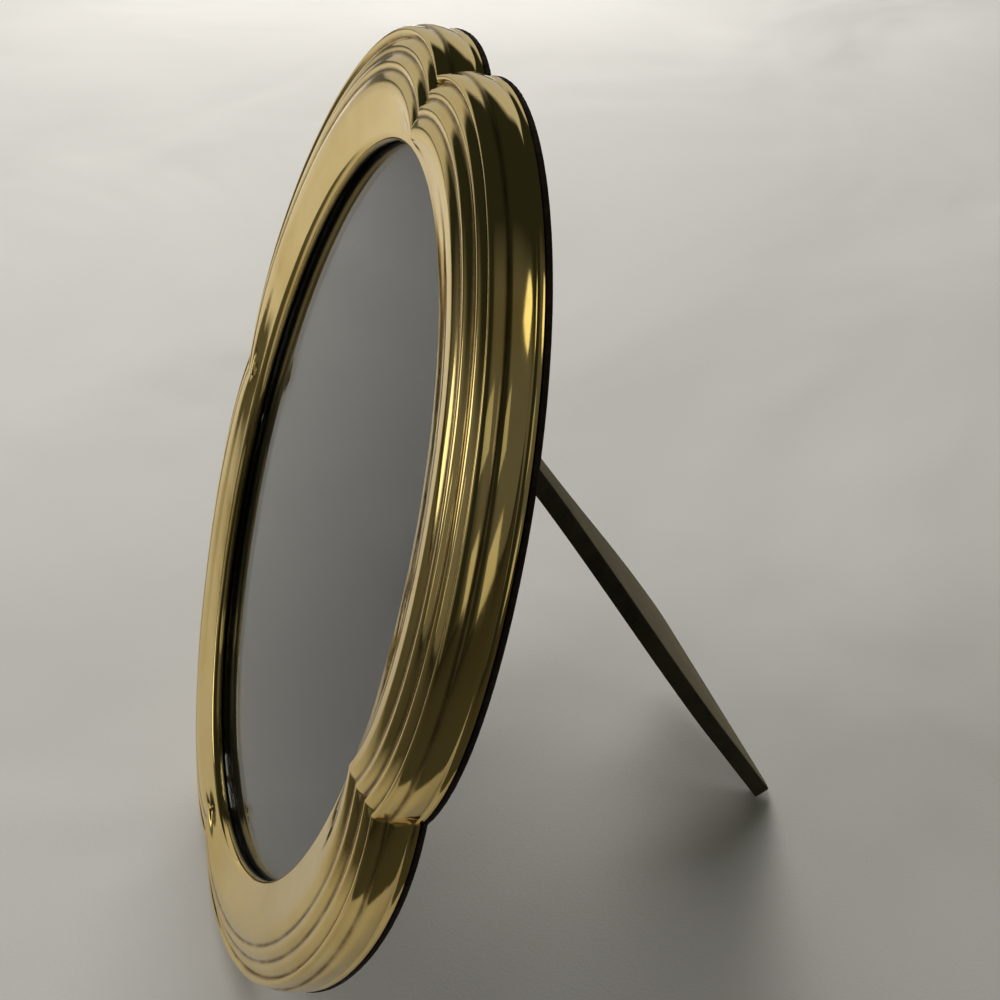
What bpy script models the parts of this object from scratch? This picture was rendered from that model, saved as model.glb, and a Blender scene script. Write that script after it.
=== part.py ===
"""Oval brass photo frame: a reeded rail of four lobes, a velvet back and an easel strut.

Every piece is drawn with the frame lying on its back: x runs across the picture,
y up the picture and z towards the viewer, with z = 0 on the crest of the lip.
A parent empty then leans the finished frame back, so that it stands on its two
lower lobes and on the foot of its strut. The folded strut is drawn flat on the
door, with its origin on the hinge pin, and a second empty opens it.
"""
import math

import bmesh
import bpy
import numpy as np
from mathutils import Matrix

MM = 0.001

# Rail around the picture opening
OPENING_HALF_WIDTH = 54.0 * MM
OPENING_HALF_HEIGHT = 76.5 * MM
LIP_ROLL = 1.4 * MM
LIP_DEPTH = 2.8 * MM
BAND_AT_NOTCH = 4.8 * MM
LOBE_RISE = 5.2 * MM
REED_WIDTH = 2.87 * MM
SHOULDER_WIDTH = 2.86 * MM
GROOVE_DEPTH = 0.45 * MM
FACE_RISE = 1.5 * MM
FACE_FALL = 2.8 * MM
SHOULDER_FALL = 1.7 * MM
EDGE_FLANGE = 0.3 * MM
LOBE_FULLNESS = 5.4
REED_COUNT = 2
LOBE_COUNT = 4

# Hollow back of the casting
CASTING_WALL = 1.3 * MM
REBATE_LAP = 3.2 * MM
REBATE_WEB = 1.4 * MM
SCREW_PAD_LENGTH = 9.0 * MM

# Pack behind the lip
GAP = 0.3 * MM
PACK_CLEARANCE = 0.5 * MM
GLASS_THICKNESS = 1.8 * MM
MOUNT_CARD_THICKNESS = 0.4 * MM
FILLER_THICKNESS = 0.6 * MM
DOOR_BOARD_THICKNESS = 1.8 * MM
RING_BOARD_THICKNESS = 0.9 * MM
RING_OVERHANG = 0.2 * MM
VELVET_THICKNESS = 0.45 * MM
VELVET_MARGIN = 2.4 * MM

# Turn buttons and their screws
BUTTON_WIDTH = 6.4 * MM
BUTTON_THICKNESS = 0.8 * MM
BUTTON_DOOR_OVERLAP = 4.5 * MM
BUTTON_PIVOT_INSET = 9.8 * MM
SCREW_SHANK_RADIUS = 0.95 * MM
SCREW_HEAD_RADIUS = 2.4 * MM
SCREW_HEAD_HEIGHT = 1.0 * MM
SCREW_REACH_IN_CASTING = 2.4 * MM

# Strut hinge
HINGE_HEIGHT = 46.0 * MM
PIN_RADIUS = 0.8 * MM
KNUCKLE_WALL = 0.7 * MM
LEAF_THICKNESS = 0.8 * MM
CENTRE_KNUCKLE_WIDTH = 6.0 * MM
SIDE_KNUCKLE_WIDTH = 5.4 * MM
PIN_HEAD_RADIUS = 1.5 * MM
PIN_HEAD_LENGTH = 0.8 * MM
PLATE_WIDTH = 26.0 * MM
PLATE_HEIGHT = 14.0 * MM
STRUT_LEAF_WIDTH = 12.4 * MM
STRUT_LEAF_LENGTH = 18.0 * MM
HEEL_LENGTH = 7.0 * MM
RIVET_RADIUS = 1.1 * MM
RIVET_HEAD_RADIUS = 2.2 * MM
RIVET_HEAD_HEIGHT = 0.9 * MM
PLATE_RIVET_SPACING = 17.0 * MM
LEAF_RIVET_SPACING = 6.4 * MM

# Easel strut, cut obliquely at the foot
STRUT_LENGTH = 148.0 * MM
STRUT_SHORT_SIDE = 121.0 * MM
STRUT_NECK_WIDTH = 15.4 * MM
STRUT_FOOT_WIDTH = 46.0 * MM
STRUT_FOOT_OFFSET = 2.0 * MM
STRUT_NECK_LENGTH = 38.0 * MM
STRUT_FLARE_LENGTH = 72.0 * MM
STRUT_NECK_ROUND = 2.5 * MM
STRUT_TIP_ROUND = 2.8 * MM
STRUT_HEEL_ROUND = 9.0 * MM
STRUT_BOARD_THICKNESS = 2.9 * MM
STRUT_OPENING = math.radians(49.0)

# Fineness of the meshes
STATIONS_PER_LOBE = 18
OVAL_STATIONS = 52
ROUND_SIDES = 16

# Sizes that follow from the ones above, from the front of the pack to the back
REEDS_WIDTH = REED_COUNT * REED_WIDTH + SHOULDER_WIDTH
RAIL_AT_NOTCH = LIP_ROLL + BAND_AT_NOTCH + REEDS_WIDTH
GLASS_FRONT = -LIP_DEPTH - GAP
GLASS_BACK = GLASS_FRONT - GLASS_THICKNESS
CARD_FRONT = GLASS_BACK - GAP
CARD_BACK = CARD_FRONT - MOUNT_CARD_THICKNESS
FILLER_FRONT = CARD_BACK - GAP
FILLER_BACK = FILLER_FRONT - FILLER_THICKNESS
DOOR_FRONT = FILLER_BACK - GAP
RING_BACK = DOOR_FRONT - DOOR_BOARD_THICKNESS
RING_FRONT = RING_BACK + RING_BOARD_THICKNESS
FRAME_BACK = RING_FRONT + GAP
VELVET_FRONT = RING_BACK - GAP
VELVET_BACK = VELVET_FRONT - VELVET_THICKNESS
PACK_EDGE = REBATE_LAP - PACK_CLEARANCE
KNUCKLE_BORE = PIN_RADIUS + GAP
KNUCKLE_RADIUS = KNUCKLE_BORE + KNUCKLE_WALL
WRAP = VELVET_THICKNESS + GAP
LEAF_FRONT = VELVET_BACK - GAP
LEAF_BACK = LEAF_FRONT - LEAF_THICKNESS
PIN_DEPTH = LEAF_FRONT - KNUCKLE_RADIUS


def clear_scene():
    """Remove every object that the scene holds."""
    for item in list(bpy.data.objects):
        bpy.data.objects.remove(item, do_unlink=True)


def new_collection(name):
    """Make a collection in the scene."""
    collection = bpy.data.collections.new(name)
    bpy.context.scene.collection.children.link(collection)
    return collection


def new_material(name, colour, roughness, metallic=0.0, transmission=0.0):
    """Make a plain Principled material."""
    material = bpy.data.materials.new(name)
    material.use_nodes = True
    shader = material.node_tree.nodes["Principled BSDF"]
    shader.inputs["Base Color"].default_value = (*colour, 1.0)
    shader.inputs["Roughness"].default_value = roughness
    shader.inputs["Metallic"].default_value = metallic
    shader.inputs["Transmission Weight"].default_value = transmission
    material.diffuse_color = (*colour, 1.0)
    return material


def place(mesh, name, collection, parent, material):
    """Put a mesh into the scene as a named object under its parent empty."""
    item = bpy.data.objects.new(name, mesh)
    collection.objects.link(item)
    item.parent = parent
    if material is not None:
        mesh.materials.append(material)
    return item


def shade(mesh, angle=32.0):
    """Shade a mesh smooth, apart from edges sharper than the angle."""
    mesh.shade_smooth()
    mesh.set_sharp_from_angle(angle=math.radians(angle))


def rings_to_mesh(name, rings, closed):
    """Skin a stack of equal rings of points: a closed tube section, or capped ends.

    rings has the shape (rings, stations, 3). Neighbouring rings are joined by quads.
    """
    count, stations, _ = rings.shape
    work = bmesh.new()
    verts = [[work.verts.new(point) for point in ring] for ring in rings]
    last = count if closed else count - 1
    for i in range(last):
        here, after = verts[i], verts[(i + 1) % count]
        for j in range(stations):
            k = (j + 1) % stations
            work.faces.new((here[j], here[k], after[k], after[j]))
    if not closed:
        work.faces.new(verts[0])
        work.faces.new(verts[-1])
    bmesh.ops.recalc_face_normals(work, faces=work.faces)
    mesh = bpy.data.meshes.new(name)
    work.to_mesh(mesh)
    work.free()
    shade(mesh)
    return mesh


def oval_points(turns, outward):
    """Points of the opening oval, moved outward along its normal, at parts of a turn."""
    angle = 2.0 * np.pi * turns
    normal = np.stack([OPENING_HALF_HEIGHT * np.cos(angle), OPENING_HALF_WIDTH * np.sin(angle)], axis=-1)
    normal /= np.linalg.norm(normal, axis=-1, keepdims=True)
    oval = np.stack([OPENING_HALF_WIDTH * np.cos(angle), OPENING_HALF_HEIGHT * np.sin(angle)], axis=-1)
    return oval + np.asarray(outward)[..., None] * normal


def rail_width(turns):
    """Width of the rail: least at the four notches, most in the middle of each lobe."""
    along = 2.0 * ((turns * LOBE_COUNT) % 1.0) - 1.0
    return RAIL_AT_NOTCH + LOBE_RISE * (1.0 - np.abs(along) ** LOBE_FULLNESS)


def lobe_turns():
    """Stations around the rail, closer together beside the notches."""
    step = np.linspace(0.0, 1.0, STATIONS_PER_LOBE, endpoint=False)
    eased = step - 0.09 * np.sin(2.0 * np.pi * step)
    return ((np.arange(LOBE_COUNT)[:, None] + eased[None, :]) / LOBE_COUNT).ravel()


def oval_turns():
    """Even stations around a plain oval piece."""
    return np.linspace(0.0, 1.0, OVAL_STATIONS, endpoint=False)


def sweep(turns, section):
    """Rings of points from a section: pairs of outward distance and height."""
    rings = []
    for outward, height in section:
        flat = oval_points(turns, np.broadcast_to(outward, turns.shape))
        heights = np.broadcast_to(height, turns.shape)
        rings.append(np.concatenate([flat, heights[:, None]], axis=1))
    return np.array(rings)


def face_height(inset):
    """Height of the reeds' crests at a distance in from the rail's outer edge."""
    return FACE_RISE - FACE_FALL * (1.0 - inset / REEDS_WIDTH) ** 1.25


def reed(width, inset, span):
    """Part of the section over one reed, from the groove inside it to its steeper outer side."""
    points = []
    for part, depth in ((0.0, 1.0), (0.1, 0.4), (0.28, 0.0), (0.56, 0.0), (0.82, 0.45)):
        here = inset - part * span
        points.append((width - here, face_height(here) - depth * GROOVE_DEPTH))
    return points


def shoulder(width):
    """Part of the section that turns from the last groove over into the outer wall."""
    points = [(width - SHOULDER_WIDTH, face_height(SHOULDER_WIDTH) - GROOVE_DEPTH),
              (width - 0.9 * SHOULDER_WIDTH, face_height(SHOULDER_WIDTH) - 0.45 * GROOVE_DEPTH)]
    crest = 0.76 * SHOULDER_WIDTH
    top = face_height(SHOULDER_WIDTH)
    for turn in (0.0, 0.3, 0.55, 0.78, 1.0):
        angle = turn * math.pi / 2.0
        inset = EDGE_FLANGE + (crest - EDGE_FLANGE) * (1.0 - math.sin(angle))
        points.append((width - inset, top - SHOULDER_FALL * (1.0 - math.cos(angle))))
    return points


def reeded_face(width):
    """Section of the rail's front: lip, rising band, reeds, shoulder and outer wall."""
    section = [(0.2 * LIP_ROLL + 0.0 * width, -LIP_DEPTH), (0.05 * LIP_ROLL, -0.8 * LIP_DEPTH)]
    for turn in (0.0, 0.25, 0.5, 0.75, 0.94):
        angle = turn * math.pi / 2.0
        section.append((LIP_ROLL * (1.0 - math.cos(angle)), LIP_ROLL * (math.sin(angle) - 1.0)))
    band_end = width - REEDS_WIDTH
    brow = band_end - 0.42 * BAND_AT_NOTCH
    section.append((0.5 * (LIP_ROLL + brow), 0.52 * FACE_RISE))
    section.append((brow, 0.98 * FACE_RISE))
    section.append((band_end - 0.22 * BAND_AT_NOTCH, FACE_RISE))
    section.append((band_end - 0.07 * BAND_AT_NOTCH, FACE_RISE - 0.35 * GROOVE_DEPTH))
    inset = REEDS_WIDTH
    for _ in range(REED_COUNT):
        section += reed(width, inset, REED_WIDTH)
        inset -= REED_WIDTH
    section += shoulder(width)
    for inset, above in ((EDGE_FLANGE, 3.3), (0.35 * EDGE_FLANGE, 2.5), (0.0, 1.5), (0.0, 0.0)):
        section.append((width - inset, FRAME_BACK + above * EDGE_FLANGE))
    return section


def channel_height(inset):
    """Height of the channel's ceiling, one wall below the grooves."""
    return face_height(inset) - GROOVE_DEPTH - CASTING_WALL


def hollow_back(width, turns):
    """Section of the rail's back: the channel, its web and the rebate of the pack.

    The channel fills up to solid pads at the middle of the lobes, for the screws.
    """
    outline = sweep(turns, [(width, 0.0)])[0]
    middle = button_places()[0][0]
    away = np.hypot(np.abs(outline[:, 0]) - abs(middle[0]), np.abs(outline[:, 1]) - abs(middle[1]))
    open_part = np.clip((away - SCREW_PAD_LENGTH) / SCREW_PAD_LENGTH, 0.03, 1.0)
    web = REBATE_LAP + REBATE_WEB + 0.0 * width
    outer = width - EDGE_FLANGE - CASTING_WALL
    inner_reed = REEDS_WIDTH - CASTING_WALL
    channel = [(outer, FRAME_BACK), (outer, channel_height(0.0)),
               (width - SHOULDER_WIDTH, channel_height(SHOULDER_WIDTH)),
               (width - inner_reed, channel_height(inner_reed)),
               (web, -GROOVE_DEPTH - CASTING_WALL), (web, FRAME_BACK)]
    section = [(outward, FRAME_BACK + (height - FRAME_BACK) * open_part) for outward, height in channel]
    section.append((REBATE_LAP, FRAME_BACK))
    section.append((REBATE_LAP, -LIP_DEPTH))
    return section


def filleted(corners, steps=5):
    """Round the corners of a convex outline, given anticlockwise as x, y, radius."""
    points = []
    count = len(corners)
    for i, (x, y, radius) in enumerate(corners):
        here = np.array([x, y])
        before = np.array(corners[i - 1][:2]) - here
        after = np.array(corners[(i + 1) % count][:2]) - here
        before /= np.linalg.norm(before)
        after /= np.linalg.norm(after)
        half = 0.5 * math.acos(float(np.clip(before @ after, -1.0, 1.0)))
        bisector = before + after
        bisector /= np.linalg.norm(bisector)
        centre = here + bisector * radius / math.sin(half)
        start = here + before * radius / math.tan(half) - centre
        for k in range(steps + 1):
            angle = (math.pi - 2.0 * half) * k / steps
            points.append(centre + start @ np.array(Matrix.Rotation(-angle, 2)))
    return np.array(points)


def grown(corners, by):
    """Move the edges of a convex outline outwards, and let its radii grow with them."""
    count = len(corners)
    result = []
    for i, (x, y, radius) in enumerate(corners):
        here = np.array([x, y])
        into = here - np.array(corners[i - 1][:2])
        out = np.array(corners[(i + 1) % count][:2]) - here
        into /= np.linalg.norm(into)
        out /= np.linalg.norm(out)
        normals = np.array([[into[1], -into[0]], [out[1], -out[0]]])
        moved = np.linalg.solve(normals, normals @ here + by)
        result.append((moved[0], moved[1], radius + by))
    return result


def stack(outlines):
    """Rings of points from pairs of an outline and a height."""
    return np.array([np.column_stack([flat, np.full(len(flat), height)]) for flat, height in outlines])


def plate_mesh(name, outline, back, front, edge=0.0):
    """A flat plate: its outline as a filled curve, with an optional small chamfer."""
    curve = bpy.data.curves.new(name, "CURVE")
    curve.dimensions = "2D"
    curve.fill_mode = "BOTH"
    curve.extrude = 0.5 * (front - back) - edge
    curve.bevel_depth = edge
    curve.bevel_resolution = 0
    curve.offset = -edge
    spline = curve.splines.new("POLY")
    spline.points.add(len(outline) - 1)
    spline.points.foreach_set("co", np.column_stack([outline, 0.0 * outline]).ravel())
    spline.use_cyclic_u = True
    drawn = bpy.data.objects.new(name, curve)
    bpy.context.scene.collection.objects.link(drawn)
    bpy.context.view_layer.update()
    mesh = bpy.data.meshes.new_from_object(drawn.evaluated_get(bpy.context.evaluated_depsgraph_get()))
    bpy.data.objects.remove(drawn, do_unlink=True)
    mesh.transform(Matrix.Translation((0.0, 0.0, 0.5 * (back + front))))
    work = bmesh.new()
    work.from_mesh(mesh)
    bmesh.ops.remove_doubles(work, verts=work.verts, dist=0.001 * MM)
    bmesh.ops.recalc_face_normals(work, faces=work.faces)
    work.to_mesh(mesh)
    work.free()
    shade(mesh)
    return mesh


def rod_mesh(name, radius, low, high, axis="Z"):
    """A round bar between two heights on the Z axis, or laid along the X axis."""
    work = bmesh.new()
    bmesh.ops.create_cone(work, cap_ends=True, segments=ROUND_SIDES, radius1=radius, radius2=radius,
                          depth=high - low, matrix=Matrix.Translation((0.0, 0.0, 0.5 * (low + high))))
    mesh = bpy.data.meshes.new(name)
    work.to_mesh(mesh)
    work.free()
    if axis == "X":
        mesh.transform(Matrix.Rotation(math.pi / 2.0, 4, "Y"))
    return mesh


def box_mesh(name, low, high):
    """A box between two corners."""
    work = bmesh.new()
    bmesh.ops.create_cube(work, size=1.0)
    for vert in work.verts:
        for axis in range(3):
            vert.co[axis] = low[axis] if vert.co[axis] < 0.0 else high[axis]
    mesh = bpy.data.meshes.new(name)
    work.to_mesh(mesh)
    work.free()
    return mesh


class Bench:
    """Where the pieces are put together: the two collections, the empties and the materials."""

    def __init__(self):
        self.parts = new_collection("oval_photo_frame")
        self.cutters = new_collection("cutters")
        self.stand = self.empty("stand_pose", None)
        self.pivot = self.empty("strut_pivot", self.stand)
        self.pivot.location = (0.0, HINGE_HEIGHT, PIN_DEPTH)
        self.pivot.rotation_euler = (STRUT_OPENING, 0.0, 0.0)
        self.brass = new_material("polished_brass", (0.80, 0.62, 0.33), 0.12, metallic=1.0)
        self.hinge_steel = new_material("brassed_steel", (0.62, 0.50, 0.30), 0.35, metallic=1.0)
        self.glass = new_material("clear_glass", (0.92, 0.95, 0.93), 0.02, transmission=1.0)
        self.card = new_material("grey_card", (0.16, 0.16, 0.15), 0.7)
        self.fibre = new_material("fibre_board", (0.33, 0.24, 0.15), 0.85)
        self.velvet = new_material("dark_velvet", (0.035, 0.028, 0.02), 0.9)

    def empty(self, name, parent):
        item = bpy.data.objects.new(name, None)
        self.parts.objects.link(item)
        item.parent = parent
        return item

    def add(self, mesh, name, material, parent=None):
        return place(mesh, name, self.parts, parent or self.stand, material)

    def turn(self, name, profile, material, parent=None, axis="Z"):
        """Add a turned piece: pairs of radius and height, spun about its axis and closed on it."""
        closed = [(0.0, profile[0][1]), *profile, (0.0, profile[-1][1])]
        if axis == "X":
            points = [(height, radius, 0.0) for radius, height in closed]
        else:
            points = [(radius, 0.0, height) for radius, height in closed]
        mesh = bpy.data.meshes.new(name)
        mesh.from_pydata(points, [(i, i + 1) for i in range(len(points) - 1)], [])
        item = self.add(mesh, name, material, parent)
        spin = item.modifiers.new("spin", "SCREW")
        spin.axis = axis
        spin.steps = ROUND_SIDES
        spin.render_steps = ROUND_SIDES
        spin.use_merge_vertices = True
        spin.merge_threshold = 0.01 * MM
        spin.use_normal_calculate = True
        spin.use_normal_flip = axis == "Z"
        spin.use_smooth_shade = False
        return item

    def cut(self, target, mesh, operation="DIFFERENCE"):
        """Cut a mesh out of a piece, or join it on, with a live Boolean."""
        tool = place(mesh, target.name + "_tool_" + str(len(target.modifiers)), self.cutters, target.parent, None)
        tool.location = target.location
        tool.rotation_euler = target.rotation_euler
        tool.hide_render = True
        tool.display_type = "WIRE"
        boolean = target.modifiers.new(operation.lower(), "BOOLEAN")
        boolean.operation = operation
        boolean.solver = "EXACT"
        boolean.object = tool


def drill(radius, low, high, x=0.0, y=0.0, axis="Z"):
    """A round cutter between two heights, at a place."""
    mesh = rod_mesh("drill", radius, low, high, axis)
    mesh.transform(Matrix.Translation((x, y, 0.0)))
    return mesh


def button_places():
    """Pivot and inward direction of each turn button, one to a lobe."""
    turns = (np.arange(LOBE_COUNT) + 0.5) / LOBE_COUNT
    pivots = oval_points(turns, np.full(LOBE_COUNT, BUTTON_PIVOT_INSET))
    inward = oval_points(turns, np.zeros(LOBE_COUNT)) - pivots
    return list(zip(pivots, np.arctan2(inward[:, 1], inward[:, 0])))


def make_casting(bench):
    """The brass rail: one casting, reeded in front and hollow behind."""
    turns = lobe_turns()
    width = rail_width(turns)
    rings = sweep(turns, reeded_face(width) + hollow_back(width, turns))
    casting = bench.add(rings_to_mesh("brass_frame", rings, closed=True), "brass_frame", bench.brass)
    for pivot, _ in button_places():
        top = FRAME_BACK + SCREW_REACH_IN_CASTING + GAP
        hole = drill(SCREW_SHANK_RADIUS + GAP, FRAME_BACK - GAP, top, pivot[0], pivot[1])
        bench.cut(casting, hole)


def make_pack(bench):
    """Glass, mount card and filler board, one behind another in the rebate."""
    oval = oval_points(oval_turns(), np.full(OVAL_STATIONS, PACK_EDGE))
    glass = plate_mesh("glass_pane", oval, GLASS_BACK, GLASS_FRONT, 0.2 * MM)
    bench.add(glass, "glass_pane", bench.glass)
    bench.add(plate_mesh("mount_card", oval, CARD_BACK, CARD_FRONT), "mount_card", bench.card)
    bench.add(plate_mesh("filler_board", oval, FILLER_BACK, FILLER_FRONT), "filler_board", bench.fibre)


def make_back_ring(bench):
    """The fixed ring of the back, a little larger than the casting, and the velvet on it."""
    turns = lobe_turns()
    edge = rail_width(turns) + RING_OVERHANG
    board = [(REBATE_LAP, RING_FRONT), (edge - 0.2 * MM, RING_FRONT), (edge, RING_FRONT - 0.2 * MM),
             (edge, RING_BACK), (REBATE_LAP, RING_BACK)]
    ring = bench.add(rings_to_mesh("back_ring", sweep(turns, board), closed=True), "back_ring", bench.fibre)
    skin = edge - VELVET_MARGIN
    cloth = [(REBATE_LAP, VELVET_FRONT), (skin, VELVET_FRONT), (skin, VELVET_BACK), (REBATE_LAP, VELVET_BACK)]
    velvet = bench.add(rings_to_mesh("ring_velvet", sweep(turns, cloth), closed=True), "ring_velvet", bench.velvet)
    for pivot, _ in button_places():
        for piece in (ring, velvet):
            hole = drill(SCREW_SHANK_RADIUS + GAP, VELVET_BACK - GAP, RING_FRONT + GAP, pivot[0], pivot[1])
            bench.cut(piece, hole)


def rivet_places(spacing, height):
    """The two places of a pair of rivets."""
    return [(-0.5 * spacing, height), (0.5 * spacing, height)]


def make_door(bench):
    """The loose oval door that closes the pack, with its wrapped velvet."""
    turns = oval_turns()
    inner = PACK_EDGE - VELVET_THICKNESS
    board_edge = PACK_EDGE - WRAP
    board = plate_mesh("back_door", oval_points(turns, np.full(OVAL_STATIONS, board_edge)), RING_BACK, DOOR_FRONT)
    door = bench.add(board, "back_door", bench.fibre)
    wrap = [(inner, VELVET_FRONT), (inner, DOOR_FRONT), (PACK_EDGE, DOOR_FRONT),
            (PACK_EDGE, VELVET_BACK + 0.5 * VELVET_THICKNESS), (PACK_EDGE - 0.5 * VELVET_THICKNESS, VELVET_BACK)]
    velvet = bench.add(rings_to_mesh("door_velvet", sweep(turns, wrap), closed=False), "door_velvet", bench.velvet)
    for x, y in rivet_places(PLATE_RIVET_SPACING, plate_rivet_height()):
        for piece in (door, velvet):
            bench.cut(piece, drill(RIVET_RADIUS + GAP, VELVET_BACK - GAP, DOOR_FRONT + GAP, x, y))


def make_turn_buttons(bench):
    """Four turn buttons that swing over the door's edge, each on its own screw."""
    length = BUTTON_PIVOT_INSET - PACK_EDGE + BUTTON_DOOR_OVERLAP
    half = 0.5 * BUTTON_WIDTH
    corners = [(-half, -half, 0.9 * half), (length, -0.8 * half, 0.7 * half), (length, 0.8 * half, 0.7 * half),
               (-half, half, 0.9 * half)]
    front = VELVET_BACK - GAP
    back = front - BUTTON_THICKNESS
    for i, (pivot, heading) in enumerate(button_places(), start=1):
        name = "turn_button_" + str(i)
        mesh = plate_mesh(name, filleted(corners), -BUTTON_THICKNESS, 0.0, 0.15 * MM)
        button = bench.add(mesh, name, bench.hinge_steel)
        button.location = (pivot[0], pivot[1], front)
        button.rotation_euler = (0.0, 0.0, heading)
        bench.cut(button, drill(SCREW_SHANK_RADIUS + GAP, -BUTTON_THICKNESS - GAP, GAP))
        seat = back - GAP
        tip = FRAME_BACK + SCREW_REACH_IN_CASTING
        profile = [(0.55 * SCREW_HEAD_RADIUS, seat - SCREW_HEAD_HEIGHT),
                   (0.85 * SCREW_HEAD_RADIUS, seat - 0.72 * SCREW_HEAD_HEIGHT),
                   (SCREW_HEAD_RADIUS, seat - 0.25 * SCREW_HEAD_HEIGHT), (SCREW_HEAD_RADIUS, seat),
                   (SCREW_SHANK_RADIUS, seat), (SCREW_SHANK_RADIUS, tip - SCREW_SHANK_RADIUS),
                   (0.3 * SCREW_SHANK_RADIUS, tip)]
        screw = bench.turn("turn_screw_" + str(i), profile, bench.brass)
        screw.location = (pivot[0], pivot[1], 0.0)


def side_knuckle_span():
    """Nearest and furthest edge of a side knuckle from the middle of the pin."""
    near = 0.5 * CENTRE_KNUCKLE_WIDTH + GAP
    return near, near + SIDE_KNUCKLE_WIDTH


def plate_foot():
    """How far above the pin the wide part of the fixed plate starts."""
    return KNUCKLE_RADIUS + 2.0 * GAP


def plate_rivet_height():
    return HINGE_HEIGHT + plate_foot() + 0.5 * PLATE_HEIGHT


def rivet(bench, name, material, parent, x, y, front, seat):
    """A rivet from its flush front end to the domed head that sits behind the seat."""
    head = seat - RIVET_HEAD_HEIGHT
    profile = [(0.45 * RIVET_HEAD_RADIUS, head), (0.82 * RIVET_HEAD_RADIUS, seat - 0.7 * RIVET_HEAD_HEIGHT),
               (RIVET_HEAD_RADIUS, seat - 0.2 * RIVET_HEAD_HEIGHT), (RIVET_HEAD_RADIUS, seat),
               (RIVET_RADIUS, seat), (RIVET_RADIUS, front)]
    item = bench.turn(name, profile, material, parent)
    item.location = (x, y, 0.0)


def make_hinge(bench):
    """The fixed plate with its two knuckles, the pin, and the rivets through the door."""
    near, far = side_knuckle_span()
    half = 0.5 * PLATE_WIDTH
    foot = plate_foot()
    corner = 2.5 * MM
    corners = [(-half, foot, corner), (half, foot, corner), (half, foot + PLATE_HEIGHT, corner),
               (-half, foot + PLATE_HEIGHT, corner)]
    front = LEAF_FRONT - PIN_DEPTH
    back = LEAF_BACK - PIN_DEPTH
    plate = bench.add(plate_mesh("hinge_plate", filleted(corners), back, front), "hinge_plate", bench.hinge_steel)
    plate.location = (0.0, HINGE_HEIGHT, PIN_DEPTH)
    for side in (-1.0, 1.0):
        ends = sorted((side * near, side * far))
        arm = box_mesh("arm", (ends[0], 0.0, back), (ends[1], foot + corner, front))
        bench.cut(plate, arm, "UNION")
        barrel = rod_mesh("barrel", KNUCKLE_RADIUS, ends[0], ends[1], "X")
        bench.cut(plate, barrel, "UNION")
    bench.cut(plate, drill(KNUCKLE_BORE, -far - GAP, far + GAP, axis="X"))
    for x, y in rivet_places(PLATE_RIVET_SPACING, plate_rivet_height() - HINGE_HEIGHT):
        bench.cut(plate, drill(RIVET_RADIUS + GAP, back - GAP, front + GAP, x, y))
    shoulder = far + GAP
    end = shoulder + PIN_HEAD_LENGTH
    profile = [(0.6 * PIN_HEAD_RADIUS, -end), (PIN_HEAD_RADIUS, -end + 0.5 * PIN_HEAD_LENGTH),
               (PIN_HEAD_RADIUS, -shoulder), (PIN_RADIUS, -shoulder), (PIN_RADIUS, shoulder),
               (PIN_HEAD_RADIUS, shoulder), (PIN_HEAD_RADIUS, end - 0.5 * PIN_HEAD_LENGTH),
               (0.6 * PIN_HEAD_RADIUS, end)]
    pin = bench.turn("hinge_pin", profile, bench.hinge_steel, axis="X")
    pin.location = (0.0, HINGE_HEIGHT, PIN_DEPTH)
    for i, (x, y) in enumerate(rivet_places(PLATE_RIVET_SPACING, plate_rivet_height()), start=1):
        rivet(bench, "plate_rivet_" + str(i), bench.brass, bench.stand, x, y, DOOR_FRONT, LEAF_BACK - GAP)


def strut_outline(grow=0.0):
    """Outline of the strut below the pin: a narrow neck that flares to a foot cut obliquely."""
    neck, wide = 0.5 * STRUT_NECK_WIDTH - WRAP, 0.5 * STRUT_FOOT_WIDTH - WRAP
    top, tip, heel = KNUCKLE_RADIUS + 2.0 * GAP + WRAP, STRUT_LENGTH - 1.6 * WRAP, STRUT_SHORT_SIDE - WRAP
    neck_end, flare_end = STRUT_NECK_LENGTH, STRUT_NECK_LENGTH + STRUT_FLARE_LENGTH
    neck_box = [(neck, -neck_end, 0.1 * neck), (neck, -top, STRUT_NECK_ROUND),
                (-neck, -top, STRUT_NECK_ROUND), (-neck, -neck_end, 0.1 * neck)]
    foot_box = [(-wide, -flare_end, 0.1 * wide), (-wide, -heel, STRUT_HEEL_ROUND),
                (wide, -tip, STRUT_TIP_ROUND), (wide, -flare_end, 0.1 * wide)]
    steps = 5
    rounded = slice(steps + 1, 3 * (steps + 1))
    part = np.linspace(0.0, 1.0, 8)
    eased = part * part * (3.0 - 2.0 * part)
    down = -neck_end - (flare_end - neck_end) * part
    far = np.column_stack([-neck - grow - (wide - STRUT_FOOT_OFFSET - neck) * eased, down])
    near = np.column_stack([neck + grow + (wide + STRUT_FOOT_OFFSET - neck) * eased, down])
    foot = filleted(grown(foot_box, grow), steps)[rounded] + (STRUT_FOOT_OFFSET, 0.0)
    return np.vstack([filleted(grown(neck_box, grow), steps)[rounded], far, foot, near[::-1]])


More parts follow.
